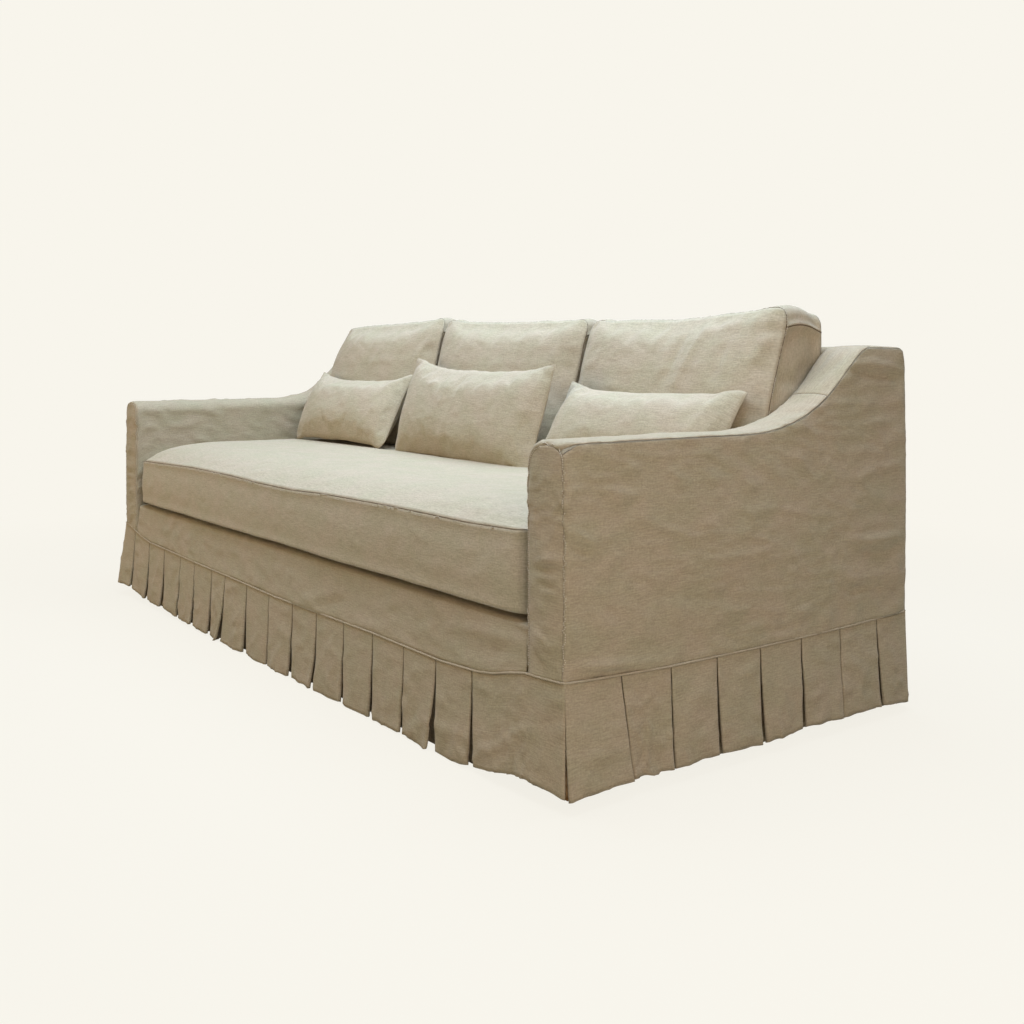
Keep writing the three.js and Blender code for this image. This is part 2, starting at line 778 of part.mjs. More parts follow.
// Filling of the seat cushion, grown by an ease where it cuts its cavity
function seatFilling(ease) {
  const inset = seatDrawIn + sewnWall - ease;
  const outline = outlineShares(seatHalfWidth, seatHalfDepth, seatCornerRadius, seatFillSteps);
  const top = seatEdgeThick - sewnWall + ease;
  const crown = seatCrown - sewnWall;
  const levels = [
    { share: 1, height: sewnWall - ease, crown: 0 },
    { share: 1, height: top, crown: 0 },
    ...seatFillShares.map((share) => ({ share, height: top, crown })),
  ];
  return stuffedForm(outline, levels, (u, v, level) => [
    u * (seatHalfWidth - inset),
    seatCentreY + v * (seatHalfDepth - inset),
    seatBottom + level.height
      + level.crown * crownShare(u, v, seatFrontPower, seatFrontPower, seatFrontPower),
  ]);
}

// A zip in the rear wall of a cover, or with an ease the slot that it fills
function zipBlock(centreX, length, middle, spanY, ease) {
  const reach = length / 2 + ease;
  const rise = zipWidth / 2 + ease;
  return block([centreX - reach, centreX + reach], spanY, [middle - rise, middle + rise]);
}

function seatZip(innerGap, outerReach, ease) {
  const outerY = seatRearY - seatDrawIn;
  const spanY = [outerY - sewnWall + innerGap, outerY + outerReach];
  const length = 2 * seatHalfWidth * seatZipShare;
  return zipBlock(0, length, seatBottom + seatEdgeThick / 2, spanY, ease);
}

function seatCushionCover() {
  return cut(seatForm(), seatFilling(fitGap), seatZip(-fitGap, overrun, fitGap));
}

function cushionFrontY(height, stand) {
  const share = (height - cushionBottom) / backCushionHeight;
  const depth = backCushionFootDepth + (backCushionTopDepth - backCushionFootDepth) * share;
  return cushionRearY + backCushionLean * share - depth * stand;
}

function backCushionForm(centreX) {
  const halfWidth = backCushionWidth / 2;
  const halfHeight = backCushionHeight / 2;
  const outline = outlineShares(halfWidth, halfHeight, backCornerRadius, backSteps);
  const levels = [
    { share: 1 - backRimDrawIn / halfWidth, depth: 0, crown: 0 },
    { share: 1, depth: backRimDepthShare, crown: 0 },
    { share: 1, depth: 1 - backRimDepthShare, crown: 0 },
    ...backTopShares.map((share) => ({ share, depth: 1, crown: backCrown })),
  ];
  return stuffedForm(outline, levels, (u, v, { depth, crown }) => {
    const drawDown = v > 0 ? backDrawIn * (1 - u ** 2) * v : 0;
    const z = cushionBottom + halfHeight * (1 + v) - drawDown;
    const stand = crown * crownShare(u, v, backCrownPower, backCrownPower, backCrownPower);
    return [
      centreX + u * (halfWidth - backDrawIn * (1 - v ** 2)),
      cushionFrontY(z, depth) - stand,
      z,
    ];
  });
}

function backFilling(centreX, ease) {
  const halfWidth = backCushionWidth / 2 - backDrawIn - sewnWall + ease;
  const low = cushionBottom + sewnWall - ease;
  const high = cushionBottom + backCushionHeight - backDrawIn - sewnWall + ease;
  const outline = outlineShares(halfWidth, (high - low) / 2, backCornerRadius, backFillSteps);
  const levels = [
    { share: 1, depth: 0, stand: ease - sewnWall },
    { share: 1, depth: 1, stand: sewnWall - ease },
  ];
  return stuffedForm(outline, levels, (u, v, { depth, stand }) => {
    const z = (low + high) / 2 + (v * (high - low)) / 2;
    return [centreX + u * halfWidth, cushionFrontY(z, depth) + stand, z];
  });
}

function backZip(centreX, innerGap, outerReach, ease) {
  const middle = cushionBottom + backCushionHeight * backZipHeightShare;
  const outerY = cushionFrontY(middle, 0);
  const spanY = [outerY - sewnWall + innerGap, outerY + outerReach];
  return zipBlock(centreX, backCushionWidth * backZipShare, middle, spanY, ease);
}

function pillowTurn(cushionX, { shiftShare, leanDegrees }) {
  const centreX = cushionX + shiftShare * (backCushionWidth - pillowWidth);
  const lean = THREE.MathUtils.degToRad(leanDegrees);
  const halfHeight = pillowHeight / 2;
  const centreZ = cushionBottom + halfHeight * Math.cos(lean) + (pillowSeam / 2) * Math.sin(lean);
  const reach = (pillowThick + pillowSeam) / 2 / Math.cos(lean);
  const centreY = cushionFrontY(centreZ, 1) - backCrown - reach - pillowEase;
  return new THREE.Matrix4().makeBasis(
    new THREE.Vector3(1, 0, 0),
    new THREE.Vector3(0, Math.sin(lean), Math.cos(lean)),
    new THREE.Vector3(0, -Math.cos(lean), Math.sin(lean)),
  ).setPosition(centreX, centreY, centreZ);
}

// A knife-edge pillow with pointed corners, lying flat at the origin
function pillowForm({ width, height, thick, seam }, steps, topShares) {
  const outline = outlineShares(width / 2, height / 2, 0, steps);
  const levels = [
    ...[...topShares].reverse().map((share) => ({ share, face: -1 })),
    { share: 1, face: -1 },
    { share: 1, face: 1 },
    ...topShares.map((share) => ({ share, face: 1 })),
  ];
  return stuffedForm(outline, levels, (u, v, { face }) => {
    const swell = Math.sqrt(Math.max(0, (1 - u ** 2) * (1 - v ** 2)));
    return [
      u * (width / 2 - pillowDrawIn * (1 - v ** 2)),
      v * (height / 2 - pillowDrawIn * (1 - u ** 2)),
      face * (seam / 2 + ((thick - seam) / 2) * swell),
    ];
  });
}

function pillowFilling(ease) {
  return pillowForm({
    width: pillowWidth - 2 * pillowFillInset + 2 * ease,
    height: pillowHeight - 2 * pillowFillInset + 2 * ease,
    thick: pillowThick - 2 * sewnWall + 2 * ease,
    seam: pillowSeam + 2 * ease,
  }, pillowFillSteps, pillowFillShares);
}

function pillowCover() {
  const fillBottom = pillowFillInset - pillowHeight / 2;
  const slotLength = pillowWidth * pillowSlotShare;
  const slot = block(
    [-slotLength / 2, slotLength / 2],
    [-pillowHeight / 2 - overrun, fillBottom + pillowDrawIn + overrun],
    [-pillowSlotWidth / 2, pillowSlotWidth / 2],
  );
  const sizes = { width: pillowWidth, height: pillowHeight, thick: pillowThick, seam: pillowSeam };
  const outside = pillowForm(sizes, pillowSteps, pillowTopShares);
  return cut(outside, pillowFilling(fitGap), slot);
}

// Hardwood frame
const railHeights = [railBottomHeight, railTopHeight];
const railRearY = frameFace - boardThick;
const sideRailX = frameEndX - boardThick;
const backPostX = sideRailX - fitGap - boardThick;
const crossRailZ = [railTopHeight - crossRailHeight, railTopHeight];
const betweenRails = [fitGap - railRearY, seatBackRailY()[0] - fitGap];
addPart("front_rail", block([-frameEndX, frameEndX], [-frameFace, -railRearY], railHeights), hardwood);
addPart("seat_back_rail", block(
  [fitGap - backPostX, backPostX - fitGap], seatBackRailY(), railHeights,
), hardwood);
addPart("back_bottom_rail", block(
  [fitGap - backPostX, backPostX - fitGap], [railRearY, frameFace], railHeights,
), hardwood);
addPart("back_top_rail", block(
  [-frameOuterX, frameOuterX], [backBoardY(topRailZ[1]) + fitGap, frameFace], topRailZ,
), hardwood);
Object.entries({ left: -1, right: 1 }).forEach(([name, side]) => {
  const postY = [fitGap - railRearY, fitGap - railRearY + postWidth];
  const railUnderside = armTopHeight - padInset - boardThick - fitGap;
  addPart(`side_rail_${name}`, block(
    spanOn(side, sideRailX, frameEndX), [fitGap - railRearY, frameFace], railHeights,
  ), hardwood);
  addPart(`arm_post_${name}`, block(
    spanOn(side, frameInnerX, sideRailX - fitGap), postY, [railBottomHeight, railUnderside],
  ), hardwood);
  addPart(`arm_rail_${name}`, armRail(side), hardwood);
  addPart(`back_post_${name}`, backBoard(
    railBottomHeight, railBottomHeight, spanOn(side, backPostX, sideRailX - fitGap),
  ), hardwood);
  addPart(`back_upright_${name}`, backBoard(
    railTopHeight + fitGap,
    springTopHeight + fitGap,
    [side * uprightX - boardThick / 2, side * uprightX + boardThick / 2],
  ), hardwood);
  addPart(`seat_cross_rail_${name}`, block(
    [side * crossRailX - boardThick / 2, side * crossRailX + boardThick / 2], betweenRails, crossRailZ,
  ), hardwood);
  addPart(`corner_block_front_${name}`, cornerBlock(
    [side * (frameInnerX - fitGap), postY[0]], -side, 1,
  ), hardwood);
  addPart(`corner_block_back_${name}`, cornerBlock(
    [side * (backPostX - fitGap), seatBackRailY()[0] - fitGap], -side, -1,
  ), hardwood);
});
Object.entries(legCentres()).forEach(([name, centre]) => addPart(name, leg(centre), hardwood));

// Springs, padding and covers
addPart("seat_spring_unit", seatSprings(), springSteel);
addPart("deck_pad", deckPad(), wadding);
addPart("back_pad", backPad(), wadding);
addPart("dust_cover", dustCover(), darkCloth);
addPart("platform_cover", platformCover(), linen);
addPart("back_cover", backCover(), linen);
Object.entries({ left: -1, right: 1 }).forEach(([name, side]) => {
  addPart(`arm_pad_${name}`, armPad(side), wadding);
  addPart(`arm_cover_${name}`, armCover(side), linen);
  addPart(`skirt_${name}`, skirtEnd(side), linen);
});
addPart("skirt_front", skirtFront(), linen);
addPart("skirt_back", skirtBack(), linen);

// Loose cushions and pillows
addPart("seat_cushion_cover", seatCushionCover(), linenSeat);
addPart("seat_cushion_insert", seatFilling(0), filling);
addPart("seat_cushion_zip", seatZip(fitGap, 0, 0), zipPlastic);
Object.entries(backCushionPlaces).forEach(([name, place]) => {
  const centreX = place * cushionSpacing;
  const slot = backZip(centreX, -fitGap, overrun, fitGap);
  const cover = cut(backCushionForm(centreX), backFilling(centreX, fitGap), slot);
  addPart(`back_cushion_${name}_cover`, cover, linenSeat);
  addPart(`back_cushion_${name}_insert`, backFilling(centreX, 0), filling);
  addPart(`back_cushion_${name}_zip`, backZip(centreX, fitGap, 0, 0), zipPlastic);
  const turn = pillowTurn(centreX, pillowSpots[name]);
  addPart(`pillow_${name}_cover`, pillowCover().applyMatrix4(turn), linenSeat);
  addPart(`pillow_${name}_insert`, pillowFilling(0).applyMatrix4(turn), filling);
});

export default sofa;
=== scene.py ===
# Slipcovered three-seat sofa in natural linen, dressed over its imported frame.
# Metres, X to the right, Y to the back, Z up, as in the frame.
import bpy
import bmesh
import json
import math
import numpy as np
from mathutils import Matrix, Vector, noise
from mathutils.kdtree import KDTree


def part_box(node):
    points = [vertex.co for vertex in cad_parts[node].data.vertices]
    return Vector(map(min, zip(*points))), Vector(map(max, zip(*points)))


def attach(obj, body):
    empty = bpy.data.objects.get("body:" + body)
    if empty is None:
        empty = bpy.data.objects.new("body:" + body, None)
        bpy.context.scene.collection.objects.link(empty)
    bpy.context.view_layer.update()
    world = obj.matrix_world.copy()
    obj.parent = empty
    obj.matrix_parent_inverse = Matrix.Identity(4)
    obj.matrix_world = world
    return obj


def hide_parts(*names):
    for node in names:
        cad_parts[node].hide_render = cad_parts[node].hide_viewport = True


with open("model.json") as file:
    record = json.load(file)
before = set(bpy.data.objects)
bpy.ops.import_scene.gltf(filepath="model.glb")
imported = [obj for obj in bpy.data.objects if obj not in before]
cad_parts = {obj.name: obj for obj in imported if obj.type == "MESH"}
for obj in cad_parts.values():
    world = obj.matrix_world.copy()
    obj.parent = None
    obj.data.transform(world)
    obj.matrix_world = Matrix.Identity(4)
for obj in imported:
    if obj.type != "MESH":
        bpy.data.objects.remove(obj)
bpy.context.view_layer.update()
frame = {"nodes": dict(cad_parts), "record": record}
bpy.ops.object.select_all(action="DESELECT")
scene = bpy.context.scene
print("frame loaded:", len(frame["nodes"]), "nodes")

# Lines that several covers share, read off the frame
armLow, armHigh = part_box("arm_cover_right")
backLow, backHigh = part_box("back_cover")
seatLow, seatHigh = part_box("seat_cushion_cover")
sofa = {
    "halfLength": armHigh.x,
    "halfDepth": armHigh.y,
    "armInner": armLow.x,
    "armTop": 0.659,
    "backTop": armHigh.z,
    "deckTop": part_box("platform_cover")[1].z,
    "insideFoot": backLow.y,  # inside back where it meets the deck
    "insideSlope": 0.088,     # how far it leans back for each metre of height
    "rearRadius": 0.025,      # rear corner of arms and back
    "clothThick": 0.0025,
    "clearance": 0.0006,      # between the cloth of deck and back and what stands on or against it
}

# Height of the corded seam above the skirt: front by x, side by y
seamLine = {
    "frontPlaces": [-1.20, -1.15, -1.09, -1.03, -0.95, -0.80, -0.57, -0.31, 0.00, 0.27, 0.52, 0.80,
                    0.93, 0.985, 1.04, 1.085, 1.14, 1.20],
    "frontHeights": [0.244, 0.238, 0.226, 0.214, 0.205, 0.202, 0.197, 0.193, 0.187, 0.189, 0.191,
                     0.188, 0.195, 0.203, 0.217, 0.226, 0.228, 0.232],
    "sidePlaces": [-0.51, -0.43, -0.25, 0.00, 0.30, 0.51],
    "sideHeights": [0.232, 0.228, 0.221, 0.219, 0.221, 0.227],
}

seamStep = 0.005  # between the points of a cushion's stitching or a pillow's edge seam


def seamFront(x):
    return np.interp(x, seamLine["frontPlaces"], seamLine["frontHeights"])


def seamSide(side, y):
    heights = np.interp(y, seamLine["sidePlaces"], seamLine["sideHeights"])
    front = seamFront(side * sofa["halfLength"])
    rise = (front - seamLine["sideHeights"][0]) * (1 - smoothStep(-0.51, -0.2, y))
    return heights + rise


def insideBack(z):
    return sofa["insideFoot"] + (z - sofa["deckTop"]) * sofa["insideSlope"]


def smoothStep(low, high, values):
    share = np.clip((np.asarray(values, float) - low) / (high - low), 0, 1)
    return share * share * (3 - 2 * share)


def noiseField(points, size, seed):
    shift = Vector((7.31, 3.17, 5.53)) * seed
    scaled = np.asarray(points) / np.asarray(size)
    return np.array([noise.noise(Vector(point) + shift) for point in scaled])


# Cloth made of patches of points, rows by columns, each with its flat place in metres
def makeCloth(name, patches, weld=0.0004, inside=None):
    vertices, faces, flats = [], [], []
    for points, flat in patches:
        rows, columns = points.shape[:2]
        base = len(vertices)
        vertices.extend(points.reshape(-1, 3).tolist())
        flats.extend(flat.reshape(-1, 2).tolist())
        for row in range(rows - 1):
            for column in range(columns - 1):
                start = base + row * columns + column
                faces.append((start, start + 1, start + columns + 1, start + columns))
    mesh = bpy.data.meshes.new(name)
    mesh.from_pydata(vertices, [], faces)
    layer = mesh.uv_layers.new(name="cloth")
    corners = np.zeros(len(mesh.loops), np.int32)
    mesh.loops.foreach_get("vertex_index", corners)
    layer.data.foreach_set("uv", np.array(flats, np.float32)[corners].ravel())
    shell = bmesh.new()
    shell.from_mesh(mesh)
    bmesh.ops.remove_doubles(shell, verts=shell.verts, dist=weld)
    bmesh.ops.dissolve_degenerate(shell, edges=shell.edges, dist=weld / 4)
    bmesh.ops.recalc_face_normals(shell, faces=shell.faces)
    if inside is not None:
        outward = sum(
            face.normal.dot(face.calc_center_median() - Vector(inside)) * face.calc_area()
            for face in shell.faces
        )
        if outward < 0:
            bmesh.ops.reverse_faces(shell, faces=shell.faces)
    for face in shell.faces:
        face.smooth = True
    shell.to_mesh(mesh)
    shell.free()
    piece = bpy.data.objects.new(name, mesh)
    scene.collection.objects.link(piece)
    return piece


def readPoints(piece, kind="co"):
    values = np.zeros(len(piece.data.vertices) * 3)
    piece.data.vertices.foreach_get(kind, values)
    return values.reshape(-1, 3)


def writePoints(piece, points):
    piece.data.vertices.foreach_set("co", np.asarray(points, float).ravel())
    piece.data.update()


def treeOf(points):
    tree = KDTree(len(points))
    for index, point in enumerate(points):
        tree.insert(point, index)
    tree.balance()
    return tree


def nearestIndices(piece, line):
    tree = treeOf(readPoints(piece))
    return [tree.find(point)[1] for point in line]


def lengthsAlong(line):
    return np.concatenate([[0], np.cumsum(np.linalg.norm(np.diff(line, axis=0), axis=1))])


# A line in a plane, moved to its inner side
def movedIn(line, inset):
    ahead = np.gradient(line, axis=0)
    normal = np.stack([ahead[:, 1], -ahead[:, 0]], axis=1)
    return line + inset * normal / np.linalg.norm(normal, axis=1)[:, None]


# Applies a modifier with its settings
def finishWith(piece, kind, **settings):
    modifier = piece.modifiers.new(kind.lower(), kind)
    for key, value in settings.items():
        setattr(modifier, key, value)
    bpy.context.view_layer.objects.active = piece
    piece.select_set(True)
    bpy.ops.object.modifier_apply(modifier=modifier.name)
    piece.select_set(False)


# Moves cloth along its normals by soft noise: each row is size in x, y and z, height and seed.
# A crease row has a sharp ridge instead of a round swell. The shift goes onto every seed.
def rumple(piece, swells, creases, mask=None, shift=0):
    points, normals = readPoints(piece), readPoints(piece, "normal")
    lift = np.zeros(len(points))
    for size, height, seed in swells:
        lift += height * noiseField(points, size, seed + shift)
    for size, height, seed in creases:
        ridge = 1 - np.minimum(np.abs(noiseField(points, size, seed + shift)) * 5, 1)
        patchy = noiseField(points, np.array(size) * 3, seed + shift + 9)
        lift += height * ridge ** 2 * smoothStep(-0.35, 0.25, patchy)
    if mask is not None:
        lift *= mask(points)
    writePoints(piece, points + normals * lift[:, None])


# Presses single folds into cloth: each runs between two places on the plane of the two given axes,
# with a half width and a height, which is below zero for a groove. Only cloth that a test passes moves.
def foldAlong(piece, folds, axes, test):
    points, normals = readPoints(piece), readPoints(piece, "normal")
    lift = np.zeros(len(points))
    for number, (start, end, halfWidth, height) in enumerate(folds):
        start, run = np.array(start), np.array(end) - np.array(start)
        offset = points[:, axes] - start
        along = np.clip(offset @ run / (run @ run), 0, 1)
        away = offset - along[:, None] * run
        bent = 0.5 * halfWidth * noiseField(points, (0.05, 0.05, 0.05), 60 + number)
        distance = np.linalg.norm(away, axis=1) + bent
        taper = np.sqrt(np.maximum(np.sin(math.pi * np.clip(along, 0.02, 0.98)), 0))
        lift += height * taper * np.exp(-(distance / halfWidth) ** 2)
    writePoints(piece, points + normals * (lift * test(points, normals))[:, None])


# Pinches cloth towards a seam, with gathers square to it
def pucker(piece, line, reach, depth, pitch, seed):
    tree, along = treeOf(line), lengthsAlong(line)
    points, normals = readPoints(piece), readPoints(piece, "normal")
    for number, point in enumerate(points):
        _, index, distance = tree.find(point)
        if distance < reach:
            gather = 0.35 + 0.65 * abs(noise.noise(Vector((along[index] / pitch, seed, distance / reach))))
            points[number] -= normals[number] * depth * gather * (1 - distance / reach) ** 2
    writePoints(piece, points)


# A round line of stitching or piping that follows a list of points
def makeTube(name, line, radius, sides=6, closed=False):
    line = np.asarray(line, float)
    count = len(line)
    ahead = np.roll(line, -1, axis=0) - np.roll(line, 1, axis=0)
    if not closed:
        ahead[0], ahead[-1] = line[1] - line[0], line[-1] - line[-2]
    vertices, faces = [], []
    up = Vector((0.13, 0.21, 0.97))
    for point, step in zip(line, ahead):
        heading = Vector(step).normalized()
        across = heading.cross(up).normalized()
        up = across.cross(heading).normalized()
        for side in range(sides):
            angle = 2 * math.pi * side / sides
            offset = across * math.cos(angle) + up * math.sin(angle)
            vertices.append(Vector(point) + offset * radius)
    rings = count if closed else count - 1
    for ring in range(rings):
        for side in range(sides):
            a, b = ring * sides + side, ring * sides + (side + 1) % sides
            c, d = (a + sides) % len(vertices), (b + sides) % len(vertices)
            faces.append((a, b, d, c))
    if not closed:
        faces.append(tuple(reversed(range(sides))))
        faces.append(tuple(range((count - 1) * sides, count * sides)))
    mesh = bpy.data.meshes.new(name)
    mesh.from_pydata(vertices, [], faces)
    tube = bpy.data.objects.new(name, mesh)
    scene.collection.objects.link(tube)
    along = lengthsAlong(line)
    shell = bmesh.new()
    shell.from_mesh(mesh)
    shell.verts.ensure_lookup_table()
    layer = shell.loops.layers.uv.new("cloth")
    for face in shell.faces:
        face.smooth = True
        for loop in face.loops:
            ring, side = divmod(loop.vert.index, sides)
            loop[layer].uv = (along[ring], side * radius)
    bmesh.ops.recalc_face_normals(shell, faces=shell.faces)
    shell.to_mesh(mesh)
    shell.free()
    return tube


# Evenly spaced points along a line
def evenLine(line, spacing):
    line = np.asarray(line, float)
    along = lengthsAlong(line)
    places = np.linspace(0, along[-1], max(int(round(along[-1] / spacing)), 2) + 1)
    return np.stack([np.interp(places, along, values) for values in line.T], axis=1)


# The same line laid on a finished surface and lifted off it
def layOn(piece, line, lift):
    laid = []
    for point in line:
        found, place, normal, _ = piece.closest_point_on_mesh(Vector(point))
        laid.append(place + normal * lift if found else Vector(point))
    return np.array(laid)


# Marks the edges of a seam, so that it stays crisp and its groove can be cut after the cloth is subdivided
def markSeam(piece, indices, crisp=0.0):
    edges = {tuple(sorted(edge.vertices)): edge for edge in piece.data.edges}
    for pair in zip(indices[:-1], indices[1:]):
        edge = edges.get(tuple(sorted(pair)))
        if edge is not None:
            edge.use_seam = True
            if crisp:
                creases = piece.data.attributes.get("crease_edge")
                creases = creases or piece.data.attributes.new("crease_edge", "FLOAT", "EDGE")
                creases.data[edge.index].value = crisp


# Cuts every marked seam as a groove, where two panels turn down into their allowance
def cutSeams(piece, width, depth):
    shell = bmesh.new()
    shell.from_mesh(piece.data)
    marked = [edge for edge in shell.edges if edge.seam]
    places = [vert.co.copy() for edge in marked for vert in edge.verts]
    places += [(edge.verts[0].co + edge.verts[1].co) / 2 for edge in marked]
    tree = treeOf(places)
    made = bmesh.ops.bevel(shell, geom=marked, offset=width, offset_type="OFFSET", segments=2,
                           profile=0.6, affect="EDGES", clamp_overlap=True)
    shell.normal_update()
    rims = {vert: tree.find(vert.co)[2] for vert in made["verts"] if vert.is_valid}
    reach = np.percentile(list(rims.values()), 80)
    sunk = [(vert, vert.co - vert.normal * depth) for vert, away in rims.items() if away < reach / 2]
    for vert, place in sunk:
        vert.co = place
    # The groove's faces take the second, darker material: painted shade in the seam
    for face in made["faces"]:
        face.material_index = 1
    for face in shell.faces:
        face.smooth = True
    shell.to_mesh(piece.data)
    shell.free()


# A row of topstitching beside a seam, on the side that points away from a given place
def stitchBeside(piece, line, offset, away, radius=0.0007, closed=False):
    line = np.asarray(line, float)
    ahead = np.gradient(line, axis=0)
    laid = []
    for point, step in zip(line, ahead):
        _, place, normal, _ = piece.closest_point_on_mesh(Vector(point))
        across = Vector(step).cross(normal).normalized()
        if across.dot(Vector(point) - Vector(away)) < 0:
            across = -across
        _, place, normal, _ = piece.closest_point_on_mesh(place + across * offset)
        laid.append(place + normal * radius * 0.4)
    return makeTube(f"{piece.name}_stitches", laid, radius, sides=5, closed=closed)


def linear(hexText):
    values = [int(hexText[index:index + 2], 16) / 255 for index in (1, 3, 5)]
    return tuple(v / 12.92 if v <= 0.04045 else ((v + 0.055) / 1.055) ** 2.4 for v in values) + (1,)


# Adds one node: settings are its attributes, values fill its sockets, links join other nodes to it
def addNode(tree, kind, settings=None, values=None, links=None):
    node = tree.nodes.new(kind)
    for key, value in (settings or {}).items():
        setattr(node, key, value)
    for key, value in (values or {}).items():
        node.inputs[key].default_value = value
    for key, source in (links or {}).items():
        tree.links.new(source, node.inputs[key])
    return node


def newMaterial(name):
    material = bpy.data.materials.new(name)
    material.use_nodes = True
    tree = material.node_tree
    tree.nodes.clear()
    return material, tree


def finishMaterial(tree, shader):
    addNode(tree, "ShaderNodeOutputMaterial", links={"Surface": shader.outputs[0]})


# Natural linen, washed plain weave: yarns of uneven thickness show as short faint streaks, mostly along
# the weft, the dye lies in soft warm and olive patches, and washing leaves small sharp crinkles.
# The yarns are 0.9 mm apart and are drawn 1.9 mm apart, so that they show at all.
linen = {
    "yarns": 165,
    "weft": (38, 420, 1),    # how many times each pattern repeats in a metre, along and across
    "warp": (460, 50, 1),
    "mottle": (195, 270, 1),
    "dye": (8, 11, 1),
    "crumple": (11, 19, 1),
    "crinkle": (24, 60, 1),
    "shares": {"weft": 0.90, "warp": 0.40, "weave": 0.12},  # of each, added to the mottle
    "stops": (0.47, 0.71, 0.59),  # dark, pale and middle tone, by half the grain, whose mean is 1.18
    "dyeStops": (0.38, 0.62),
    "dyeShare": 0.40,
    "crinkleDepth": 0.004,
    "grainDepth": 0.0010,
}


def naturalLinen(name, tones, patchTones, crumpleDepth):
    material, tree = newMaterial(name)
    place = addNode(tree, "ShaderNodeUVMap", {"uv_map": "cloth"}).outputs["UV"]

    def scaledNoise(pattern, detail, kind="FBM"):
        mapped = addNode(tree, "ShaderNodeMapping", values={"Scale": linen[pattern]}, links={"Vector": place})
        return addNode(tree, "ShaderNodeTexNoise", {"noise_type": kind},
                       {"Scale": 1, "Detail": detail, "Roughness": 0.6},
                       {"Vector": mapped.outputs[0]}).outputs[0]

    def addedTo(base, pattern, extra):
        return addNode(tree, "ShaderNodeMath", {"operation": "MULTIPLY_ADD"},
                       {1: linen["shares"][pattern]}, {0: extra, 2: base}).outputs[0]

    yarns = [
        addNode(tree, "ShaderNodeTexWave", {"bands_direction": direction},
                {"Scale": linen["yarns"], "Distortion": 1.2, "Detail": 2, "Detail Scale": 0.4},
                {"Vector": place}).outputs["Fac"]
        for direction in ("X", "Y")
    ]
    weave = addNode(tree, "ShaderNodeMath", {"operation": "MULTIPLY"}, links={0: yarns[0], 1: yarns[1]})
    grain = addedTo(scaledNoise("mottle", 4), "weft", scaledNoise("weft", 2))
    grain = addedTo(grain, "warp", scaledNoise("warp", 2))
    grain = addedTo(grain, "weave", weave.outputs[0])
    halved = addNode(tree, "ShaderNodeMath", {"operation": "MULTIPLY"}, {1: 0.5}, {0: grain})
    ramp = addNode(tree, "ShaderNodeValToRGB", links={"Fac": halved.outputs[0]})
    stops = ramp.color_ramp.elements
    stops[0].position, stops[0].color = linen["stops"][0], linear(tones[0])
    stops[1].position, stops[1].color = linen["stops"][1], linear(tones[2])
    middle = stops.new(linen["stops"][2])
    middle.color = linear(tones[1])
    patchRamp = addNode(tree, "ShaderNodeValToRGB", links={"Fac": scaledNoise("dye", 4)})
    for stop, position, tone in zip(patchRamp.color_ramp.elements, linen["dyeStops"], patchTones):
        stop.position, stop.color = position, linear(tone)
    colour = addNode(tree, "ShaderNodeMix", {"data_type": "RGBA"}, {0: linen["dyeShare"]},
                     {6: ramp.outputs[0], 7: patchRamp.outputs[0]})
    crumpled = addNode(tree, "ShaderNodeBump", values={"Strength": 1, "Distance": crumpleDepth},
                       links={"Height": scaledNoise("crumple", 5, "RIDGED_MULTIFRACTAL")})
    crinkled = addNode(tree, "ShaderNodeBump", values={"Strength": 0.35, "Distance": linen["crinkleDepth"]},
                       links={"Height": scaledNoise("crinkle", 3), "Normal": crumpled.outputs[0]})
    bump = addNode(tree, "ShaderNodeBump", values={"Strength": 0.35, "Distance": linen["grainDepth"]},
                   links={"Height": grain, "Normal": crinkled.outputs[0]})
    shader = addNode(tree, "ShaderNodeBsdfPrincipled",
                     values={"Roughness": 0.93, "IOR": 1.53, "Specular IOR Level": 0.2,
                             "Sheen Weight": 0.10, "Sheen Roughness": 0.5},
                     links={"Base Color": colour.outputs[2], "Normal": bump.outputs[0]})
    finishMaterial(tree, shader)
    return material


# A finish from one texture, which mixes two tones and gives the relief, if there is any
def patternedFinish(name, uses, kind, settings, values, stops, relief, looks):
    material, tree = newMaterial(name)
    if uses == "cloth":
        place = addNode(tree, "ShaderNodeUVMap", {"uv_map": "cloth"}).outputs["UV"]
    else:
        place = addNode(tree, "ShaderNodeTexCoord").outputs["Object"]
    pattern = addNode(tree, kind, settings, values, {"Vector": place})
    factor = pattern.outputs["Distance" if kind == "ShaderNodeTexVoronoi" else "Fac"]
    ramp = addNode(tree, "ShaderNodeValToRGB", links={"Fac": factor})
    for stop, (position, tone) in zip(ramp.color_ramp.elements, stops):
        stop.position, stop.color = position, linear(tone)
    links = {"Base Color": ramp.outputs[0]}
    if relief:
        bump = addNode(tree, "ShaderNodeBump", values={"Strength": relief[0], "Distance": relief[1]},
                       links={"Height": factor})
        links["Normal"] = bump.outputs[0]
    finishMaterial(tree, addNode(tree, "ShaderNodeBsdfPrincipled", values=looks, links=links))
    return material


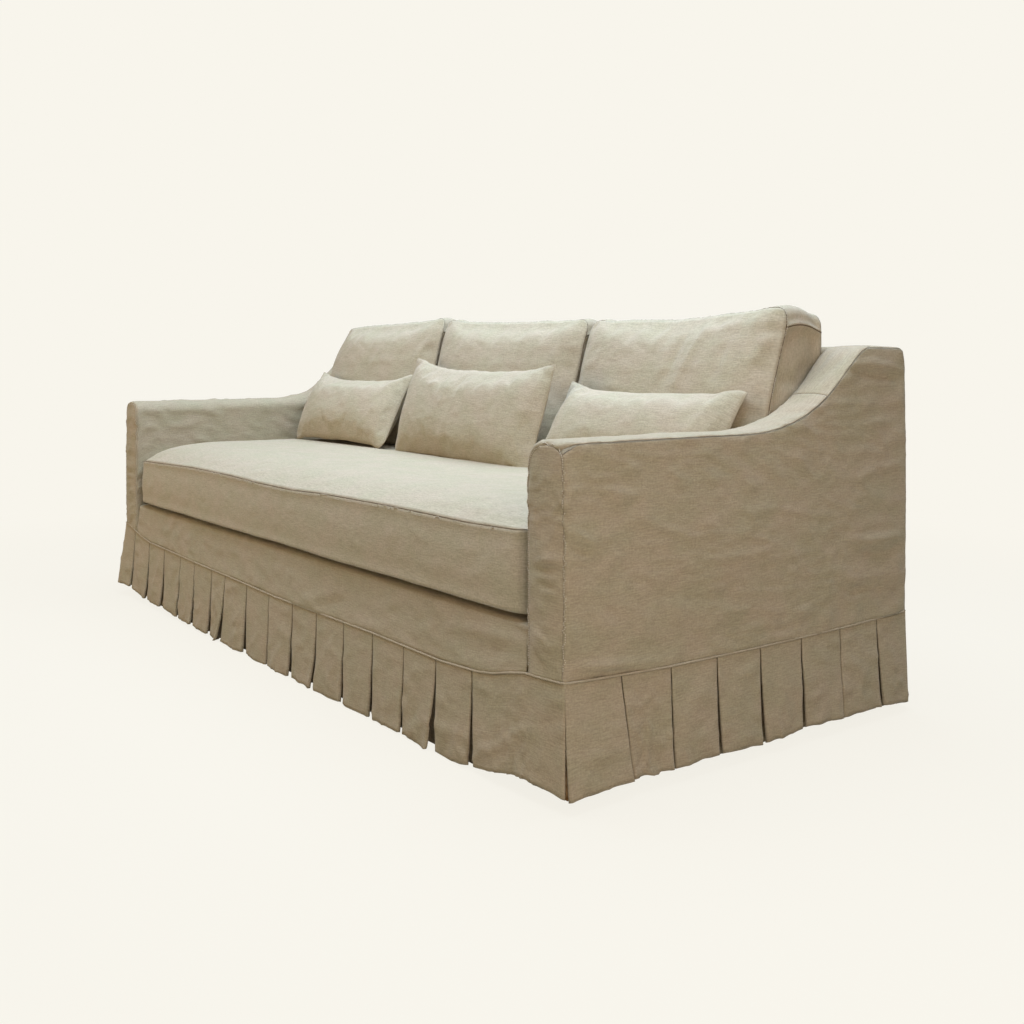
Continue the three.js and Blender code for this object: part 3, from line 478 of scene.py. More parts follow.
# Kiln-dried hardwood, planed and unfinished: long straight grain with fine dark pores
def planedHardwood(name, heartTone, sapTone):
    material, tree = newMaterial(name)
    place = addNode(tree, "ShaderNodeTexCoord").outputs["Object"]
    grainPlace = addNode(tree, "ShaderNodeMapping", values={"Scale": (6, 60, 60)}, links={"Vector": place})
    grain = addNode(tree, "ShaderNodeTexNoise", values={"Scale": 1.2, "Detail": 6, "Roughness": 0.65},
                    links={"Vector": grainPlace.outputs[0]})
    porePlace = addNode(tree, "ShaderNodeMapping", values={"Scale": (40, 900, 900)}, links={"Vector": place})
    pore = addNode(tree, "ShaderNodeTexNoise", values={"Scale": 1, "Detail": 2},
                   links={"Vector": porePlace.outputs[0]})
    mixed = addNode(tree, "ShaderNodeMath", {"operation": "MULTIPLY_ADD"}, {1: 0.3},
                    {0: pore.outputs["Fac"], 2: grain.outputs["Fac"]})
    ramp = addNode(tree, "ShaderNodeValToRGB", links={"Fac": mixed.outputs[0]})
    ramp.color_ramp.elements[0].position, ramp.color_ramp.elements[0].color = 0.45, linear(heartTone)
    ramp.color_ramp.elements[1].position, ramp.color_ramp.elements[1].color = 0.85, linear(sapTone)
    bump = addNode(tree, "ShaderNodeBump", values={"Strength": 0.25, "Distance": 0.0006},
                   links={"Height": mixed.outputs[0]})
    shader = addNode(tree, "ShaderNodeBsdfPrincipled", values={"Roughness": 0.62},
                     links={"Base Color": ramp.outputs[0], "Normal": bump.outputs[0]})
    finishMaterial(tree, shader)
    return material


# Drawn spring wire, bare steel with a thin dark scale
def springWire(name, tone):
    material, tree = newMaterial(name)
    place = addNode(tree, "ShaderNodeTexCoord").outputs["Object"]
    scale = addNode(tree, "ShaderNodeTexNoise", values={"Scale": 300, "Detail": 4}, links={"Vector": place})
    rough = addNode(tree, "ShaderNodeMapRange", values={"To Min": 0.28, "To Max": 0.5},
                    links={"Value": scale.outputs["Fac"]})
    shader = addNode(tree, "ShaderNodeBsdfPrincipled",
                     values={"Base Color": linear(tone), "Metallic": 1},
                     links={"Roughness": rough.outputs[0]})
    finishMaterial(tree, shader)
    return material


linens = {  # name, tones of the grain, tones of the dye and depth of the crumples
    "slipcover": ("slipcover_linen", ("#8D856D", "#A49A7F", "#B7AC8E"), ("#9E9274", "#AC957D"), 0.0110),
    "cushion": ("cushion_linen", ("#958C76", "#AEA288", "#C2B599"), ("#A59E80", "#B3A28B"), 0.0050),
    "cord": ("piping_linen", ("#9A907A", "#ADA188", "#BEB297"), ("#A89C80", "#B29E85"), 0.0005),
    # fold: a darker copy of the same linen for the faces of cut seams, painted shade in the grooves
    "fold": ("painted_seam_shade", ("#675A45", "#73654E", "#7F7159"), ("#645944", "#6B5B48"), 0.0005),
}
noiseKind, waveKind, cellKind = "ShaderNodeTexNoise", "ShaderNodeTexWave", "ShaderNodeTexVoronoi"
patterns = {  # name, coordinates, texture and its values, tones, strength and depth of the relief, shader
    # Linen sewing thread: 4 mm stitches show as a pale dotted line along the seam
    "thread": ("seam_thread", "cloth", waveKind, {"bands_direction": "X"}, {"Scale": 71},
               ((0.22, "#8E8069"), (0.45, "#C6BBA3")), None, {"Roughness": 0.8, "Sheen Weight": 0.1}),
    # Polyester wadding: a matted fleece, white and dull
    "wadding": ("polyester_wadding", "Object", noiseKind, {}, {"Scale": 90, "Detail": 8, "Roughness": 0.75},
                ((0.3, "#CFCBC2"), (0.7, "#F0EEE8")), (0.7, 0.004), {"Roughness": 1, "Sheen Weight": 0.3}),
    # Cotton down-proof ticking: a soft cream cloth, drawn as matted as the wadding
    "ticking": ("down_ticking", "Object", noiseKind, {}, {"Scale": 90, "Detail": 8, "Roughness": 0.75},
                ((0.3, "#D9D1BA"), (0.7, "#EFEAD9")), (0.7, 0.004), {"Roughness": 1, "Sheen Weight": 0.3}),
    # Spunbond polypropylene: thin black felt with pressed dots about 3 mm apart
    "dustCloth": ("spunbond_cloth", "Object", cellKind, {"feature": "F1"}, {"Scale": 330, "Randomness": 0.15},
                  ((0.25, "#161616"), (0.5, "#2B2B2B")), (0.4, 0.0005), {"Roughness": 0.95}),
    # Nylon coil zip: fine ribs across the tape, 2 mm apart
    "zip": ("nylon_zip", "Object", waveKind, {"bands_direction": "X"}, {"Scale": 157},
            ((0.2, "#8C8471"), (0.7, "#B3AA96")), (0.8, 0.0008), {"Roughness": 0.45}),
}
finishes = {key: naturalLinen(*row) for key, row in linens.items()}
finishes.update({key: patternedFinish(*row) for key, row in patterns.items()})
finishes["hardwood"] = planedHardwood("planed_hardwood", "#9A7145", "#D2AE7E")
finishes["steel"] = springWire("spring_wire", "#8A8C90")
print("materials made:", len(finishes))


# Faces of a cut seam have index 1: a darker copy of the linen, painted shade down in the groove
def dress(piece, finish, body, seamed=False):
    piece.data.materials.append(finishes[finish])
    if seamed:
        piece.data.materials.append(finishes["fold"])
    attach(piece, body)


# A piece of the slipcover: cloth of one thickness that stands for a cover of the frame
def addSheet(piece, node, thick, flat, held, restsOn, seamed=False, **others):
    finishWith(piece, "SOLIDIFY", thickness=thick, offset=-1)
    dress(piece, "slipcover", "sofa", seamed)
    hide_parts(node)


def addPad(name, patches, middle, thick, node):
    pad = makeCloth(name, patches, inside=middle)
    finishWith(pad, "SOLIDIFY", thickness=thick, offset=-1)
    dress(pad, "wadding", "sofa")
    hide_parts(node)


# The filling of a cushion, rounded off, or that of a pillow, turned to its place
def addCore(name, patches, middle, body, turn=None):
    core = makeCloth(name, patches, inside=middle)
    if turn is None:
        finishWith(core, "SUBSURF", levels=1, render_levels=1)
    else:
        core.data.transform(turn)
    dress(core, "ticking", body)
    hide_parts(f"{body}_insert")


deck = {  # cloth under the seat cushion, rolled over the front
    "step": 0.010,
    "rollRadius": 0.011,   # how far it drops towards the front edge
    "rollDepth": 0.105,
    "rollShape": 3,        # above 1 it drops behind and lies flat near the edge
    "edgeRound": 0.006,    # turned down at the edge itself
    "rearY": 0.362,
    "flatPoints": 80,
    "rollPoints": 14,
    "setBack": 0.0095,     # how far the apron's top stands behind the arm fronts
    "apronTop": 0.315,     # only below it is the cloth creased
    "clothThick": 0.0012,
    "padInset": 0.0065,
    "padThick": 0.020,
    "swells": [((0.35, 0.2, 0.09), 0.0035, 8), ((0.10, 0.1, 0.05), 0.0012, 9)],
    "creases": [((0.28, 0.2, 0.045), 0.0030, 10), ((0.12, 0.1, 0.06), 0.0014, 14)],
}


# Height of the deck's cloth, which slopes down behind the front
def deckHeight(y, inset=0):
    depth, radius = deck["rollDepth"], deck["rollRadius"]
    share = np.clip((deck["setBack"] - sofa["halfDepth"] + depth - y) / (depth - inset), 0, 1)
    drop = (radius - inset) * (1 - (1 - share) ** deck["rollShape"]) + deck["edgeRound"] * share ** 16
    return sofa["deckTop"] - inset - drop


# Arm covers: a front panel with an arched top, a sleeve over the scoop and a rear panel
arm = {
    "edgeRound": 0.007,        # turned edge round the front and rear panels
    "innerFront": (0.050, 0.042),
    "innerAlong": (0.034, 0.030),
    "innerRear": 0.010,
    "outerFront": (0.044, 0.026),
    "outerAlong": (0.009, 0.008),
    "frontFade": 0.035,        # over which the front arch becomes the band
    "wallSwell": 0.004,
    "panelSwell": 0.005,
    "topSwell": 0.0015,
    "step": 0.0078,            # between points
    "arcPoints": 6,
    "leftTopPlaces": (-0.51, 0.0, 0.12, 0.18, 0.27),   # the left arm lies a little higher, and rises later
    "leftTopShifts": (0.007, 0.006, -0.004, -0.011, 0.0),
    "fanWidth": 0.018,         # where a panel's arch is narrower, its cloth fans out from one place,
    "hubRise": 0.4,            # which lies this share of the way up to the arch's top
    "topPoints": 6,
    "wallPoints": 68,
    "panelPoints": 16,
    "scoopEnd": 0.378,
    "scoopLength": 0.408,
    "frontPull": 0.280,
    "rearPull": 0.080,
    "seamWidth": 0.0012,
    "seamDepth": 0.0026,
    "crossSeams": (0.225, 0.375),  # seams over the scoop of the band
    "crossStep": 0.004,
    "deckRange": (-0.492, -0.474),  # where the inner wall's foot goes up from the seam to the deck
    "rearRange": (0.25, 0.40),     # where its upper edge loses its rounding
    "rearWall": (0.39, 0.035),     # from here on the back hides all but this height of it
    "puckers": {"front": 0.0030, "top": 0.0016, "rear": 0.0016},
    "puckerReach": 0.026,
    "puckerPitch": 0.016,
    "stitchOffset": 0.0048,
    "stitchRadius": 0.0009,
    "padInset": 0.0100,
    "padThick": 0.008,
}
sideFolds = [  # on the outer walls, by depth and height
    ((-0.489, 0.258), (-0.285, 0.233), 0.009, 0.0067), ((-0.478, 0.242), (-0.332, 0.233), 0.008, -0.0053),
    ((0.290, 0.802), (0.493, 0.789), 0.010, 0.0067), ((0.297, 0.780), (0.493, 0.763), 0.009, -0.0060),
    ((0.283, 0.411), (0.497, 0.402), 0.009, 0.0067), ((0.297, 0.379), (0.497, 0.370), 0.009, -0.0063),
    ((0.255, 0.329), (0.497, 0.319), 0.010, 0.0067), ((0.269, 0.305), (0.497, 0.287), 0.009, -0.0060),
    ((0.376, 0.232), (0.501, 0.229), 0.008, 0.0053), ((-0.501, 0.503), (-0.430, 0.468), 0.008, 0.0053),
    ((-0.498, 0.478), (-0.449, 0.454), 0.008, -0.0045), ((-0.280, 0.489), (-0.200, 0.470), 0.008, 0.0037),
    ((-0.172, 0.417), (0.095, 0.414), 0.012, 0.0033), ((-0.332, 0.359), (-0.058, 0.341), 0.012, -0.0033)
]
panelFolds = [  # on the front panels, by distance from the middle and height
    ((1.117, 0.436), (1.181, 0.450), 0.009, 0.0045), ((1.120, 0.424), (1.184, 0.430), 0.008, -0.0040),
    ((1.123, 0.412), (1.184, 0.415), 0.009, 0.0045), ((1.129, 0.405), (1.173, 0.399), 0.008, -0.0035),
    ((1.135, 0.392), (1.186, 0.384), 0.009, 0.0035), ((1.112, 0.372), (1.150, 0.350), 0.008, 0.0030),
    ((1.114, 0.330), (1.158, 0.302), 0.009, -0.0035), ((1.116, 0.316), (1.161, 0.292), 0.009, 0.0040),
    ((1.112, 0.290), (1.155, 0.262), 0.009, 0.0040), ((1.113, 0.272), (1.150, 0.246), 0.008, -0.0035)
]


def armTopLine(inset):
    start = arm["scoopEnd"] - arm["scoopLength"]
    share = np.linspace(0, 1, 200)[:, None]
    handles = np.array([
        [start, sofa["armTop"]],
        [start + arm["frontPull"], sofa["armTop"]],
        [arm["scoopEnd"] - arm["rearPull"], sofa["backTop"]],
        [arm["scoopEnd"], sofa["backTop"]],
    ])
    curve = ((1 - share) ** 3 * handles[0] + 3 * (1 - share) ** 2 * share * handles[1]
             + 3 * (1 - share) * share ** 2 * handles[2] + share ** 3 * handles[3])
    radius = sofa["rearRadius"]
    turn = np.linspace(math.pi / 2, 0, 12)
    corner = np.stack([
        sofa["halfDepth"] - radius + radius * np.cos(turn),
        sofa["backTop"] - radius + radius * np.sin(turn),
    ], axis=1)
    line = np.concatenate([[[-sofa["halfDepth"], sofa["armTop"]]], curve, corner])
    line = movedIn(evenLine(line, arm["step"]), inset)
    line[0, 0], line[-1, 0] = inset - sofa["halfDepth"], sofa["halfDepth"] - inset
    return line


def armSection(side, y, top, squeeze, inset):
    frontness = 1 - smoothStep(0, arm["frontFade"], y + sofa["halfDepth"])
    rearness = smoothStep(*arm["rearRange"], y)

    def rounding(edge):
        return [along + (front - along) * frontness
                for front, along in zip(arm[f"{edge}Front"], arm[f"{edge}Along"])]

    innerWide, innerHigh = [reach + (arm["innerRear"] - reach) * rearness for reach in rounding("inner")]
    outerWide, outerHigh = rounding("outer")
    innerX = sofa["armInner"] + inset + squeeze
    outerX = sofa["halfLength"] - inset - squeeze
    crown = top - squeeze
    if side < 0:
        crown += float(np.interp(y, arm["leftTopPlaces"], arm["leftTopShifts"]))
    frontEdge = 1 - smoothStep(*arm["deckRange"], y)
    innerLow = float(deckHeight(y)) + sofa["clearance"]
    innerLow += (float(seamFront(side * innerX)) - innerLow) * frontEdge
    outerLow = float(seamSide(side, y))
    rearFrom, rearHigh = arm["rearWall"]
    if y > rearFrom:
        innerLow = outerLow if squeeze > 0 else crown - rearHigh
    wall = np.linspace(0, 1, arm["wallPoints"])
    innerZ = innerLow + (crown - innerHigh - innerLow) * wall
    outerZ = crown - outerHigh + (outerLow - crown + outerHigh) * wall
    swell = np.sin(math.pi * wall)
    turn = np.linspace(0, math.pi / 2, arm["arcPoints"])
    innerArc = np.stack([
        innerX + innerWide * (1 - np.cos(turn)), crown - innerHigh * (1 - np.sin(turn)),
    ], axis=1)
    outerArc = np.stack([
        outerX - outerWide * (1 - np.sin(turn)), crown - outerHigh * (1 - np.cos(turn)),
    ], axis=1)
    flatX = np.linspace(innerX + innerWide, outerX - outerWide, arm["topPoints"])
    flatZ = crown + arm["topSwell"] * np.sin(math.pi * np.linspace(0, 1, arm["topPoints"]))
    outline = np.concatenate([
        np.stack([np.full(len(innerZ), innerX), innerZ], axis=1)[:-1],
        innerArc[:-1],
        np.stack([flatX, flatZ], axis=1)[:-1],
        outerArc[:-1],
        np.stack([outerX + arm["wallSwell"] * swell, outerZ], axis=1),
    ])
    return np.stack([side * outline[:, 0], np.full(len(outline), y), outline[:, 1]], axis=1)


def flatLengths(points):
    across = np.linalg.norm(np.diff(points, axis=1), axis=2)
    return np.concatenate([np.zeros((len(points), 1)), np.cumsum(across, axis=1)], axis=1)


# Fills the end of a sleeve with rungs from its inner to its outer side
def armPanel(ring, facing):
    half = (len(ring) - 1) // 2
    share = np.linspace(0, 1, arm["panelPoints"])[None, :, None]
    first, last = ring[:half + 1][:, None, :], ring[::-1][:half + 1][:, None, :]
    rungs = first + (last - first) * share
    across = np.sin(math.pi * share[0, :, 0])[None, :]
    swell = across * np.sin(math.pi * np.linspace(0, 1, half + 1))[:, None] ** 0.5
    rungs[:, :, 1] += facing * arm["panelSwell"] * swell
    narrow = np.linalg.norm(ring[:half + 1] - ring[::-1][:half + 1], axis=1) < arm["fanWidth"]
    hub = rungs[~narrow][-1].mean(axis=0)
    hub[2] += arm["hubRise"] * (ring[half, 2] - hub[2])
    rungs[narrow, 1:-1] = hub
    return rungs, rungs[:, :, [0, 2]]


# Places of the band's two edges among the points of a section
def innerCorner():
    return arm["wallPoints"] + arm["arcPoints"] // 2 - 1


def outerCorner():
    return arm["wallPoints"] + arm["arcPoints"] + arm["topPoints"] + arm["arcPoints"] // 2 - 3


def armPatches(side, inset):
    line = armTopLine(inset)
    turns = np.linspace(0, math.pi / 2, 4)[:-1]
    reach = arm["edgeRound"]
    front = [(line[0, 0] + reach * (1 - math.cos(a)), line[0, 1], reach * (1 - math.sin(a))) for a in turns]
    rear = [(line[-1, 0] - reach * (1 - math.cos(a)), line[-1, 1], reach * (1 - math.sin(a))) for a in turns]
    middle = [(y, top, 0) for y, top in line if line[0, 0] + reach < y < line[-1, 0] - reach]
    stations = front + middle + rear[::-1]
    rings = np.array([armSection(side, y, top, squeeze, inset) for y, top, squeeze in stations])
    run = np.array([y for y, _, _ in stations])
    lengths = flatLengths(rings)
    outer = outerCorner()
    lengths -= lengths[:, outer:outer + 1]
    lengths[:, outer + 1:] = 1.0 - rings[:, outer + 1:, 2]
    flat = np.stack([np.repeat(run[:, None], rings.shape[1], axis=1), lengths], axis=2)
    return [(rings, flat), armPanel(rings[0], -1), armPanel(rings[-1], 1)]


def makeArm(name, side, middle):
    patches = armPatches(side, 0)
    cover = makeCloth(f"arm_{name}_slipcover", patches, inside=middle)
    rings = patches[0][0]
    outer = outerCorner()
    seams = {"front": rings[0], "top": rings[:, outer], "rear": rings[-1]}
    for index, y in enumerate(arm["crossSeams"]):
        station = int(np.argmin(np.abs(rings[:, 0, 1] - y)))
        seams[f"cross{index}"] = rings[station, innerCorner():outer + 1]
    chains = [nearestIndices(cover, line) for line in seams.values()]
    return cover, {key: evenLine(line, arm["crossStep"]) for key, line in seams.items()}, chains


# Where the arm's cloth wrinkles: all over, but less at its edges and on the inner wall
def overArm(points):
    x, y, _ = points.T
    nearFront = 0.35 + 0.65 * smoothStep(0.0, 0.02, np.abs(y + sofa["halfDepth"]))
    inner = smoothStep(0.03, 0.008, np.abs(x) - sofa["armInner"])
    return nearFront * (1 - 0.75 * smoothStep(0.46, 0.505, y)) * (1 - 0.65 * inner)


# On the outer wall under the back
def nearRear(points):
    _, y, z = points.T
    return smoothStep(0.20, 0.40, y) * smoothStep(0.508, 0.46, y) * smoothStep(0.78, 0.60, z)


# On the front panel, under its arch and at its foot
def onPanel(points):
    _, y, z = points.T
    return smoothStep(-0.47, -0.505, y) * (
        smoothStep(0.42, 0.56, z) * smoothStep(0.645, 0.61, z) + smoothStep(0.36, 0.27, z))


armWrinkles = [  # where, swells and creases
    (overArm, [((0.4, 0.34, 0.16), 0.0030, 3), ((0.09, 0.11, 0.05), 0.0011, 11)],
     [((0.3, 0.20, 0.035), 0.0034, 21), ((0.2, 0.07, 0.05), 0.0022, 31)]),
    (nearRear, [((0.3, 0.10, 0.016), 0.0022, 24)], [((0.3, 0.16, 0.022), 0.0052, 26)]),
    (onPanel, [((0.05, 0.05, 0.03), 0.0016, 34)],
     [((0.05, 0.05, 0.035), 0.0044, 36), ((0.03, 0.03, 0.02), 0.0024, 38)]),
]
for name, side in (("left", -1), ("right", 1)):
    middleX = side * (sofa["armInner"] + sofa["halfLength"]) / 2
    middle = (middleX, 0, 0.45)
    cover, lines, chains = makeArm(name, side, middle)
    for mask, swells, creases in armWrinkles:
        rumple(cover, swells, creases, mask, shift=side)
    frontFolds = [((side * a, b), (side * c, d), half, high) for (a, b), (c, d), half, high in panelFolds]
    foldAlong(cover, frontFolds, [0, 2], lambda points, normals: smoothStep(0.4, 0.9, -normals[:, 1]))
    foldAlong(cover, sideFolds, [1, 2], lambda points, normals: smoothStep(0.4, 0.9, side * normals[:, 0]))
    for key, depth in arm["puckers"].items():
        pucker(cover, lines[key], arm["puckerReach"], depth, arm["puckerPitch"], 40 + side)
    points = readPoints(cover)
    points[:, 0] = side * np.maximum(np.abs(points[:, 0]), sofa["armInner"] + 0.0002)
    writePoints(cover, points)
    for chain in chains:
        markSeam(cover, chain)
    cutSeams(cover, arm["seamWidth"], arm["seamDepth"])
    addSheet(cover, f"arm_cover_{name}", sofa["clothThick"], (1.45, 1.35), "stretched", f"arm_pad_{name}",
             seamed=True, area=1.10)
    stitches = stitchBeside(cover, lines["front"][4:-4], arm["stitchOffset"], (middleX, -0.51, 0.45),
                            arm["stitchRadius"])
    dress(stitches, "thread", "sofa")
    padPatches = armPatches(side, arm["padInset"])
    for points, _ in padPatches:
        points[:, :, 2] = np.maximum(points[:, :, 2], sofa["deckTop"] + 0.001)
    addPad(f"arm_{name}_wadding", padPatches, middle, arm["padThick"], f"arm_pad_{name}")
print("arms made")

# Back cover: up the inside back, over the top and down the outside to the seam
back = {
    "step": 0.010,
    "edgeRadius": 0.016,
    "padInset": 0.0045,
    "padDepth": 0.05,    # how far the wadding reaches down the rear
    "padThick": 0.020,
    "spanGap": 0.0004,   # at the arm covers
    "swells": [((0.5, 0.3, 0.25), 0.0030, 5), ((0.12, 0.1, 0.07), 0.0010, 6)],
    "creases": [((0.35, 0.2, 0.05), 0.0020, 7)],
    "seamInset": 0.005,  # the seam along the upper rear edge
    "seamReach": 1.087,
    "seamRadius": 0.0014,
}


# Even places between the arm covers
def betweenArms(step):
    reach = sofa["armInner"] - back["spanGap"]
    return np.linspace(-reach, reach, int(2 * reach / step))


def backLine(inset, low):
    foot = sofa["deckTop"] + sofa["clearance"]
    crest = sofa["backTop"] - back["edgeRadius"]
    radius = back["edgeRadius"]
    turn = np.linspace(math.pi, math.pi / 2, 6)
    crestY = float(insideBack(crest)) + radius
    crestArc = np.stack([crestY + radius * np.cos(turn), crest + radius * np.sin(turn)], axis=1)
    rear = sofa["rearRadius"]
    turn = np.linspace(math.pi / 2, 0, 8)
    rearArc = np.stack([
        sofa["halfDepth"] - rear + rear * np.cos(turn), sofa["backTop"] - rear + rear * np.sin(turn),
    ], axis=1)
    line = np.concatenate([
        [[float(insideBack(foot)), foot]], crestArc, rearArc, [[sofa["halfDepth"], low]],
    ])
    return movedIn(evenLine(line, back["step"]), inset)


def backPatch(inset, low):
    line = backLine(inset, low)
    xs = betweenArms(back["step"])
    points = np.stack([
        np.repeat(xs[None, :], len(line), axis=0),
        np.repeat(line[:, :1], len(xs), axis=1),
        np.repeat(line[:, 1:], len(xs), axis=1),
    ], axis=2)
    lengths = np.repeat(lengthsAlong(line)[:, None], len(xs), axis=1)
    return points, np.stack([points[:, :, 0], lengths], axis=2)


# Near the arms the cloth lies flat
def awayFromArms(points):
    return smoothStep(0, 0.03, sofa["armInner"] - np.abs(points[:, 0]))


seamBack = float(seamLine["sideHeights"][-1])
backCover = makeCloth("back_slipcover", [backPatch(0, seamBack)], inside=(0, 0.43, 0.5))
rumple(backCover, back["swells"], back["creases"], awayFromArms)
addSheet(backCover, "back_cover", sofa["clothThick"], (2.18, 1.26), "stretched", "back_pad")
rearEdge = [(x, sofa["halfDepth"] - back["seamInset"], sofa["backTop"] - back["seamInset"])
            for x in np.linspace(-back["seamReach"], back["seamReach"], 500)]
rearSeam = makeTube("back_top_seam", layOn(backCover, rearEdge, 0.0002), back["seamRadius"])
dress(rearSeam, "cord", "sofa")
padPatch = backPatch(back["padInset"], sofa["backTop"] - back["padDepth"])
addPad("back_wadding", [padPatch], (0, 0.43, 0.6), back["padThick"], "back_pad")
print("back made")

# Deck cloth under the seat cushion, rolled over the front and down to the seam
apronFolds = [  # by place along the front and height
    ((0.169, 0.206), (0.393, 0.267), 0.010, 0.0045), ((0.240, 0.203), (0.403, 0.246), 0.009, -0.0035),
    ((-0.532, 0.267), (-0.088, 0.270), 0.012, 0.0035), ((0.844, 0.270), (1.037, 0.278), 0.012, 0.0030),
    ((0.932, 0.247), (1.062, 0.264), 0.010, -0.0025)
]


def deckPatch(inset, toSeam):
    xs = betweenArms(deck["step"])
    front, depth = deck["setBack"] - sofa["halfDepth"], deck["rollDepth"]
    flatY = np.linspace(deck["rearY"], front + depth, deck["flatPoints"])[:-1]
    rollY = front + depth - (depth - inset) * (1 - np.linspace(1, 0, deck["rollPoints"]) ** 2)
    top = np.stack([
        np.concatenate([flatY, rollY]),
        np.concatenate([np.full(len(flatY), sofa["deckTop"] - inset), deckHeight(rollY, inset)]),
    ], axis=1)
    share = np.linspace(0, 1, deck["rollPoints"])[1:, None] if toSeam else np.zeros((0, 1))
    lines = np.array([
        np.concatenate([top, np.concatenate([
            front + inset - deck["setBack"] * share ** 1.5,
            top[-1, 1] + (float(seamFront(x)) - top[-1, 1]) * share,
        ], axis=1)])
        for x in xs
    ])
    places = np.repeat(xs[:, None], lines.shape[1], axis=1)
    points = np.stack([places, lines[:, :, 0], lines[:, :, 1]], axis=2).transpose(1, 0, 2)
    lengths = np.repeat(lengthsAlong(lines[len(xs) // 2])[:, None], len(xs), axis=1)
    return points, np.stack([points[:, :, 0], lengths], axis=2)


def apronOnly(points):
    return awayFromArms(points) * smoothStep(0.0, 0.03, deck["apronTop"] - points[:, 2])


deckCover = makeCloth("deck_and_apron_cover", [deckPatch(0, True)], inside=(0, -0.3, 0.2))
rumple(deckCover, deck["swells"], deck["creases"], apronOnly)
foldAlong(deckCover, apronFolds, [0, 2], lambda points, normals: apronOnly(points))
points = readPoints(deckCover)
apronY = deck["setBack"] - sofa["halfDepth"]
onApron = points[:, 2] < deckHeight(apronY) - 0.0005
points[onApron, 1] = np.minimum(points[onApron, 1], apronY)
writePoints(deckCover, points)
addSheet(deckCover, "platform_cover", deck["clothThick"], (2.18, 1.02), "stretched", "deck_pad")
addPad("deck_wadding", [deckPatch(deck["padInset"], False)], (0, -0.3, 0.2), deck["padThick"], "deck_pad")
print("deck made")

# Pleated skirt: inverted pleats. Each pleat is its place along the side, the gap at its hem,
# how far it leans from seam to hem, and how far the panel before it curls out at the hem.
skirt = {
    "drops": {"front": 0.187, "back": 0.190, "left": 0.190, "right": 0.191},
    "sewnOver": {"front": "front_rail", "back": "back_bottom_rail", "left": "side_rail_left",
                 "right": "side_rail_right"},
    "clothThick": 0.0014,
    "topGap": 0.0026,
    "gapPower": 1.15,    # at 1 the slits open evenly down to the hem
    "underlap": 0.032,
    "underHalf": 0.012,  # half the flat width between two turns of the underlap
    "topDepths": (0.0034, 0.0068),
    "hemDepths": (0.0090, 0.0230),
    "underDrop": 0.42,   # the underlap hangs lower by this share of its depth
    "flare": 0.010,
    "cornerReach": 0.22, # how far from a corner its own flare begins
    "spread": 0.002,     # how much longer each half of the hem is than its seam, for each metre
    "belly": 0.0035,
    "panelStep": 0.0075,
    "rows": 25,
    "foldPoints": 6,
    "hemClear": 0.0025,  # least height over the floor
    "hemWave": 0.006,
    "hemRipple": 0.0026,
    "hemSizes": (0.16, 0.035),
    "waveSize": 0.07,
    "wave": 0.004,
    "dentSize": 0.035,
    "dent": 0.0012,
    "creaseSize": 0.06,
    "crumpleSize": 0.035,
    "cornerDrop": 0.016,  # the hem hangs lower at the corners
    "crease": 0.0045,
}
crumples = {  # place along the side, half width, how far it is pushed in at the hem, height of its creases
    "front": [(1.06, 0.09, 0.0, 0.0060), (0.71, 0.06, 0.0, 0.0040), (-0.60, 0.07, 0.0, 0.0040),
              (-0.37, 0.05, 0.0, 0.0040)],
    "right": [(-0.315, 0.060, 0.0060, 0.0110), (-0.45, 0.05, 0.0, 0.0030), (0.46, 0.05, 0.0, 0.0040)],
    "left": [(-0.40, 0.08, 0.0, 0.0040)],
    "back": [(0.30, 0.10, 0.0, 0.0040)],
}
pleats = {
    "front": [
        (-1.100, 0.008, 0.000, 0.006), (-0.959, 0.009, 0.002, 0.008), (-0.818, 0.017, 0.000, 0.006),
        (-0.676, 0.008, 0.000, 0.005), (-0.559, 0.010, 0.001, 0.007), (-0.425, 0.011, 0.000, 0.007),
        (-0.322, 0.008, -0.018, 0.014), (-0.175, 0.014, 0.004, 0.006), (-0.030, 0.003, 0.000, 0.003),
        (0.111, 0.012, -0.002, 0.006), (0.244, 0.012, -0.004, 0.006), (0.383, 0.011, 0.002, 0.003),
        (0.519, 0.014, 0.002, 0.002), (0.653, 0.006, 0.000, 0.004), (0.781, 0.018, -0.004, 0.012),
        (0.911, 0.014, 0.006, 0.004),
    ],
    "right": [
        (-0.374, 0.002, 0.024, 0.006), (-0.246, 0.004, 0.002, 0.003), (-0.119, 0.011, 0.002, 0.003),
        (0.008, 0.014, 0.003, 0.004), (0.138, 0.013, 0.000, 0.003), (0.268, 0.002, 0.000, 0.002),
        (0.399, 0.014, 0.006, 0.004),
    ],
    "left": [(place, 0.006, 0.001 * (index % 3), 0.005) for index, place in enumerate(
        (-0.374, -0.246, -0.119, 0.008, 0.138, 0.268, 0.399))],
    "back": [(place, 0.004 + 0.002 * (index % 3), 0.002 * (index % 2), 0.004)
             for index, place in enumerate(np.linspace(-1.1, 1.1, 17))],
}
corners = {  # hem gap and outward flare at the first and last end of each side
    "front": ((0.010, 0.030), (0.006, 0.006)),
    "right": ((0.010, 0.012), (0.006, 0.010)),
    "left": ((0.008, 0.042), (0.006, 0.010)),
    "back": ((0.006, 0.010), (0.006, 0.010)),
}


def halfCircle(centre, radius, start, end, count):
    angles = np.radians(np.linspace(start, end, count))
    return [(centre[0] + radius * math.cos(a), centre[1] + radius * math.sin(a)) for a in angles]


